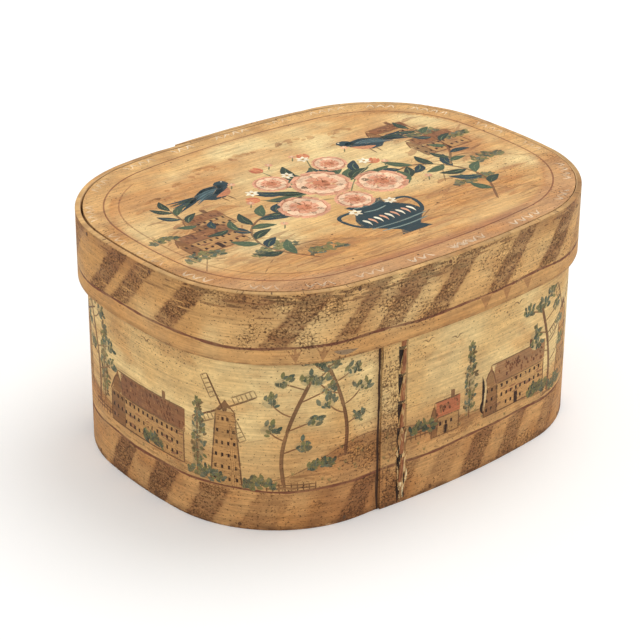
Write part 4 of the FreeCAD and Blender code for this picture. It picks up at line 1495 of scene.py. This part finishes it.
for bud in ((-76, 16), (-64, 58), (74, 16), (66, 62), (-12, 72), (16, 74), (-80, -34), (82, -32)):
    draw = bouquet.pen(*bud)
    draw([(0, 0), (4.5, 4.5)], 7.0, SALMON, 0.9, "dab")
    draw([(-4, -6), (1, 0)], 1.3, LEAF, 0.85)
    draw([(1, 1), (4, 5)], 2.2, SALMON_LIGHT, 0.8, "dab")

# %% Paint the frame line and the border
BORDER_OVAL = oval_arcs(203.5, 153.0, 111.0)
BORDER_LENGTH = oval_length(BORDER_OVAL)


def oval_run(arcs, start, stop, step=4.0):
    return [oval_point(arcs, place) for place in np.arange(start, stop + step / 2, step)]


bouquet.stroke(oval_run(FRAME_OVAL, 0, FRAME_LENGTH), 1.4, "#733F28", 0.75)
bouquet.stroke([(x * 0.94, y * 0.92) for x, y in oval_run(FRAME_OVAL, 700, 1130)], 1.3, "#80482E", 0.5)
place = 0.0
while place < BORDER_LENGTH:
    group = bouquet.chance.integers(5, 9)
    strong = bouquet.some(0.18, 0.50)
    for number in range(group):
        x, y = oval_point(BORDER_OVAL, place)
        ahead = oval_point(BORDER_OVAL, place + 1)
        turn = math.atan2(ahead[1] - y, ahead[0] - x) + (1.0 if number % 2 else 2.0) + bouquet.near(0.08)
        bouquet.stroke([polar(x, y, turn, -4.2), polar(x, y, turn + QUARTER, 0.9), polar(x, y, turn, 4.6)],
                       1.9, CHALK, strong, "comma")
        place += 5.4 if number % 2 else 4.2
    place += bouquet.some(10, 34)


def on_top(points):
    across, back, level = points.T
    return np.stack([across, back, BOARD_TOP - SKIN + level], axis=1)


top_marks = lay("lid_bouquet_marks", bouquet, on_top, lambda points: top_wash(points[:, 0], points[:, 1]),
                map_axes=(0, 1))

# %% [markdown]
# The lid's side has few drawn marks: small brown wedges hang from the line into the plain strip below it.

# %% Paint the lid's side
trim = Painting(11)
LID_LACE = LID.seam - LACE_IN
LID_SLITS = [164.8, 177.9, 191.0]
WEDGES = (-468, -441, -420, -160, -136, 27, 52, 78, 210, 236, 415, 440, 556)
STREAK_TINTS, HANDLED_TINTS = ("#8A5C36", "#A67845"), ("#5A341C", "#7A4A28", "#3A2212")

for place in WEDGES:
    tall = trim.some(11, 14)
    trim.stroke([(place, LID_LINE - 0.5), (place + trim.near(1), LID_LINE - tall)], trim.some(11, 16),
                "#8A5A36", 0.62, "wedge")
for _ in range(60):
    x, y = trim.some(-LID.length / 2, LID.length / 2), trim.some(157, 214)
    trim.stroke([(x, y), (x + trim.some(8, 30), y + trim.near(0.8))], trim.some(0.7, 1.6),
                trim.one_of(STREAK_TINTS), 0.32)
trim.stroke([(-128, 163), (-118, 160), (-106, 161)], 4.5, "#5A5E58", 0.55, "leaf")
for _ in range(120):
    x, y = -110 + trim.near(90), 214.5 - abs(trim.near(7))
    trim.stroke([(x, y), (x + trim.some(5, 22), y + trim.near(0.6))], trim.some(1.2, 2.8),
                trim.one_of(HANDLED_TINTS), 0.6, "comma")
# Painted shade: a dark line in the gap beside the lid strip's outer end, and a dark dab at each slit.
trim.stroke([(LID.seam + 1.3, 156), (LID.seam + 1.0, 186), (LID.seam + 1.4, 215)], 2.4, GAP_SHADE, 0.8)
for slit in LID_SLITS:
    trim.stroke([(LID_LACE + 4.4, slit - 0.5), (LID_LACE - 4.0, slit + 0.8)], 3.0, GAP_SHADE, 0.85, "dab")

lid_marks = lay("lid_side_marks", trim, functools.partial(on_strip, LID),
                functools.partial(ground_of, LID, lid_wash), LID.seam)

# %% [markdown]
# ## The lacing
# Each lap is sewn with one flat split root of spruce: long stitches outside, short tucks inside. A root is
# reddish, fibrous and a little twisted, and each stitch narrows upwards where it is pulled into its slit. It
# starts as a long grid, one column for each millimetre or so. The grid is laid along the CAD root's own
# route, in and out through the wood, its edges are made uneven, and Solidify gives it its thickness.

# %% Lay a split root along its stitches
ROOT_THICK, ROOT_COLUMN = 0.8, 1.1
ROOT_HALF = 2.95            # half the width of a root that hasn't been pulled narrow
TUCK, TAIL = 1.8, 7.0
ROOT_OFF = 0.5              # from the wood's face to the middle of the root


def split_root(name, place, slits, inside):
    """A flat root sewn through slits at the given heights. inside is the depth of the lap's inner face."""
    inner, outer = inside + ROOT_OFF, -ROOT_OFF
    path = [(inner, slits[-1] + TAIL), (inner, slits[-1]), (outer, slits[-1])]
    for slit in slits[-2:0:-1]:
        path += [(outer, slit + TUCK), (inner, slit + TUCK), (inner, slit - TUCK), (outer, slit - TUCK)]
    path = np.array([*path, (outer, slits[0]), (inner, slits[0]), (inner, slits[0] - TAIL)])
    reach = reach_along(path)
    root = new_grid(name, round(reach[-1] / ROOT_COLUMN), 6, size=2)
    run, side = points_of(root, unit=1)[:, :2].T
    run = (run + 1) / 2 * reach[-1]
    depth, up = sum(spot_on(path, reach, run + shift) for shift in (-0.5, 0, 0.5)).T / 3
    pitch = slits[1] - slits[0]
    share = ((up - slits[0]) % pitch) / pitch
    out = ramp(depth, inner - 1, outer + 0.5)
    left = ROOT_HALF - out * (0.1 + 2.9 * share ** 1.4 + 0.7 * drift(up, up * 0, 4, 71))
    right = ROOT_HALF - out * (0.1 + 1.0 * (1 - share) ** 2 + 0.8 * drift(up, up * 0, 5, 73))
    across = np.where(side < 0, side * left, side * right)
    sway = out * 0.35 * np.sin(up / 3.7)
    fold = out * (0.30 * side ** 2 + 0.16 * side * np.sin(up / 5.1) * (1 - side ** 2))
    move_points(root, np.stack([place + across + sway * (1 - np.abs(side)), depth + fold, up], axis=1))
    store_map(root, run, across)
    finish_with(root, "SOLIDIFY", thickness=ROOT_THICK * MM, offset=0)
    print(f"{name}: a root {reach[-1]:.0f} mm long, {len(root.data.polygons)} faces")
    return root


box_root = split_root("box_root_lacing", LACE, SLITS, 6.3)
lid_root = split_root("lid_root_lacing", LID.strip_place(LID_LACE), LID_SLITS, 7.2)

# %% [markdown]
# Where the lacing has worn through near the foot, the wood beside it has frayed into pale fibres. A sliver is
# the leaf mark again, only thin and long, lifted from the wood by a part of a millimetre.

# %% Fray the wood beside the lacing
fraying = Painting(17)
FIBRE_TINTS = ("#E3CC9C", "#CDA974", "#A97C4C")
for _ in range(46):
    low = 3 + 62 * fraying.some(0, 1) ** 1.3
    x, long = LACE + fraying.some(-3.6, 4.6), fraying.some(6, 17)
    fraying.stroke([(x, low), (x + fraying.near(0.7), low + long / 2),
                    (x + 1.2 + fraying.near(1.1), low + long)],
                   fraying.some(1.2, 2.2), fraying.one_of(FIBRE_TINTS), 1.0, "leaf")
# Dark slivers: painted shade in the gaps between the pale fibres.
for _ in range(12):
    x, low = LACE + fraying.some(-4, 3), fraying.some(4, 50)
    fraying.stroke([(x, low), (x + fraying.near(0.6), low + 7)], fraying.some(1.2, 2.0), GAP_SHADE,
                   1.0, "leaf")


def lifted(points):
    """Slivers that stand off the box's face while it is flat."""
    along, up, level = points.T
    off = 0.12 + 0.55 * drift(along * 2.5, up, 8, 81) + 2 * level
    return np.stack([along, BOX.outer(along, up) - off, up], axis=1)


fibres = lay("frayed_wood_fibres", fraying, lifted, box_ground)

# %% [markdown]
# Solidify gives the marks a hair of thickness, into the wood, and everything on the strips is bent round the
# forms.

# %% Give the marks a body and bend them
PAINT_DEPTH, FIBRE_DEPTH = 0.11, 0.3
finish_with(fibres, "SOLIDIFY", thickness=FIBRE_DEPTH * MM, offset=-1)
for marks, form in [(marks, box_form) for marks in box_marks] + [(lid_marks, lid_form), (top_marks, None)]:
    finish_with(marks, "SOLIDIFY", thickness=PAINT_DEPTH * MM, offset=-1)
    wrap(marks, form)
    print(marks.name, len(marks.data.polygons), "faces")
for piece, form in ((box_root, box_form), (fibres, box_form), (lid_root, lid_form)):
    wrap(piece, form, crease=50)
for mark in MARKS.values():
    bpy.data.objects.remove(mark)
brushed = distemper("matt_distemper_brush_marks", brushed=True)
for marks in (*box_marks, lid_marks, top_marks, fibres):
    marks.data.materials.append(brushed)

# %% [markdown]
# Split spruce root is reddish brown, with coarse fibres along it. It was painted over, so cream paint still
# sits on parts of it; these pale patches are also painted highlights on the root. Dirt lies between the
# fibres. Its map runs along the root, so the fibres do too.

# %% The root's finish
split_bark, add = new_material("dry_split_spruce_root")
place = millimetres(add)
strands = noise(add, place, 14, 0.8, 5, 0.62)
bands = noise(add, place, 9, 5, 4, 0.6)
paint_and_highlight = noise(add, place, 16, 4, 5, 0.62)
bark = add("RGBA", add("SMOOTHSTEP", strands, 0.34, 0.66), colour("#6E3C20"), colour("#B27446"))
bark = add("RGBA", add("SMOOTHSTEP", bands, 0.50, 0.66, 0.0, 0.6), bark, colour("#7A4226"))
# Pale patches: leftover cream paint and painted highlights.
bark = add("RGBA", add("SMOOTHSTEP", paint_and_highlight, 0.50, 0.60, 0.0, 0.85), bark, colour("#CDA56C"))
bark = add("RGBA", add("SMOOTHSTEP", strands, 0.38, 0.30, 0.0, 0.7), bark, PIT_BROWN)
ridges = add("Bump", {"Height": strands, "Strength": 0.8, "Distance": 0.5 * MM})
dull = add("SMOOTHSTEP", bands, 0.3, 0.7, 0.55, 0.75)
surface = add("BsdfPrincipled", {"Base Color": bark, "Roughness": dull, "Normal": ridges,
                                 "Specular IOR Level": 0.35})
add("OutputMaterial", {"Surface": surface})
for root in (box_root, lid_root):
    root.data.materials.append(split_bark)

# %% [markdown]
# ## Join the model
# Each piece rides on the body that it belongs to, and the CAD node that it stands for is hidden. The table
# also lists the record's slot that each finish comes from, but nothing here reads it. The two forms were only
# for bending, so they go.

# %% Attach and finish
STANDS_FOR = [(box_band, "box", "box_side_wood", "body_band"),
              (lid_band, "lid", "lid_side_wood", "lid_band"),
              (lid_board, "lid", "lid_top_wood", "lid_board"),
              *((marks, "box", "box_side_wood", None) for marks in box_marks),
              (lid_marks, "lid", "lid_side_wood", None),
              (top_marks, "lid", "lid_top_wood", None),
              (fibres, "box", "box_side_wood", None),
              (box_root, "box", "split_root", "body_lacing"),
              (lid_root, "lid", "split_root", "lid_lacing")]
for piece, body, slot, node in STANDS_FOR:
    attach(piece, body)
    if node:
        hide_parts(node)
bpy.data.objects.remove(box_form)
bpy.data.objects.remove(lid_form)
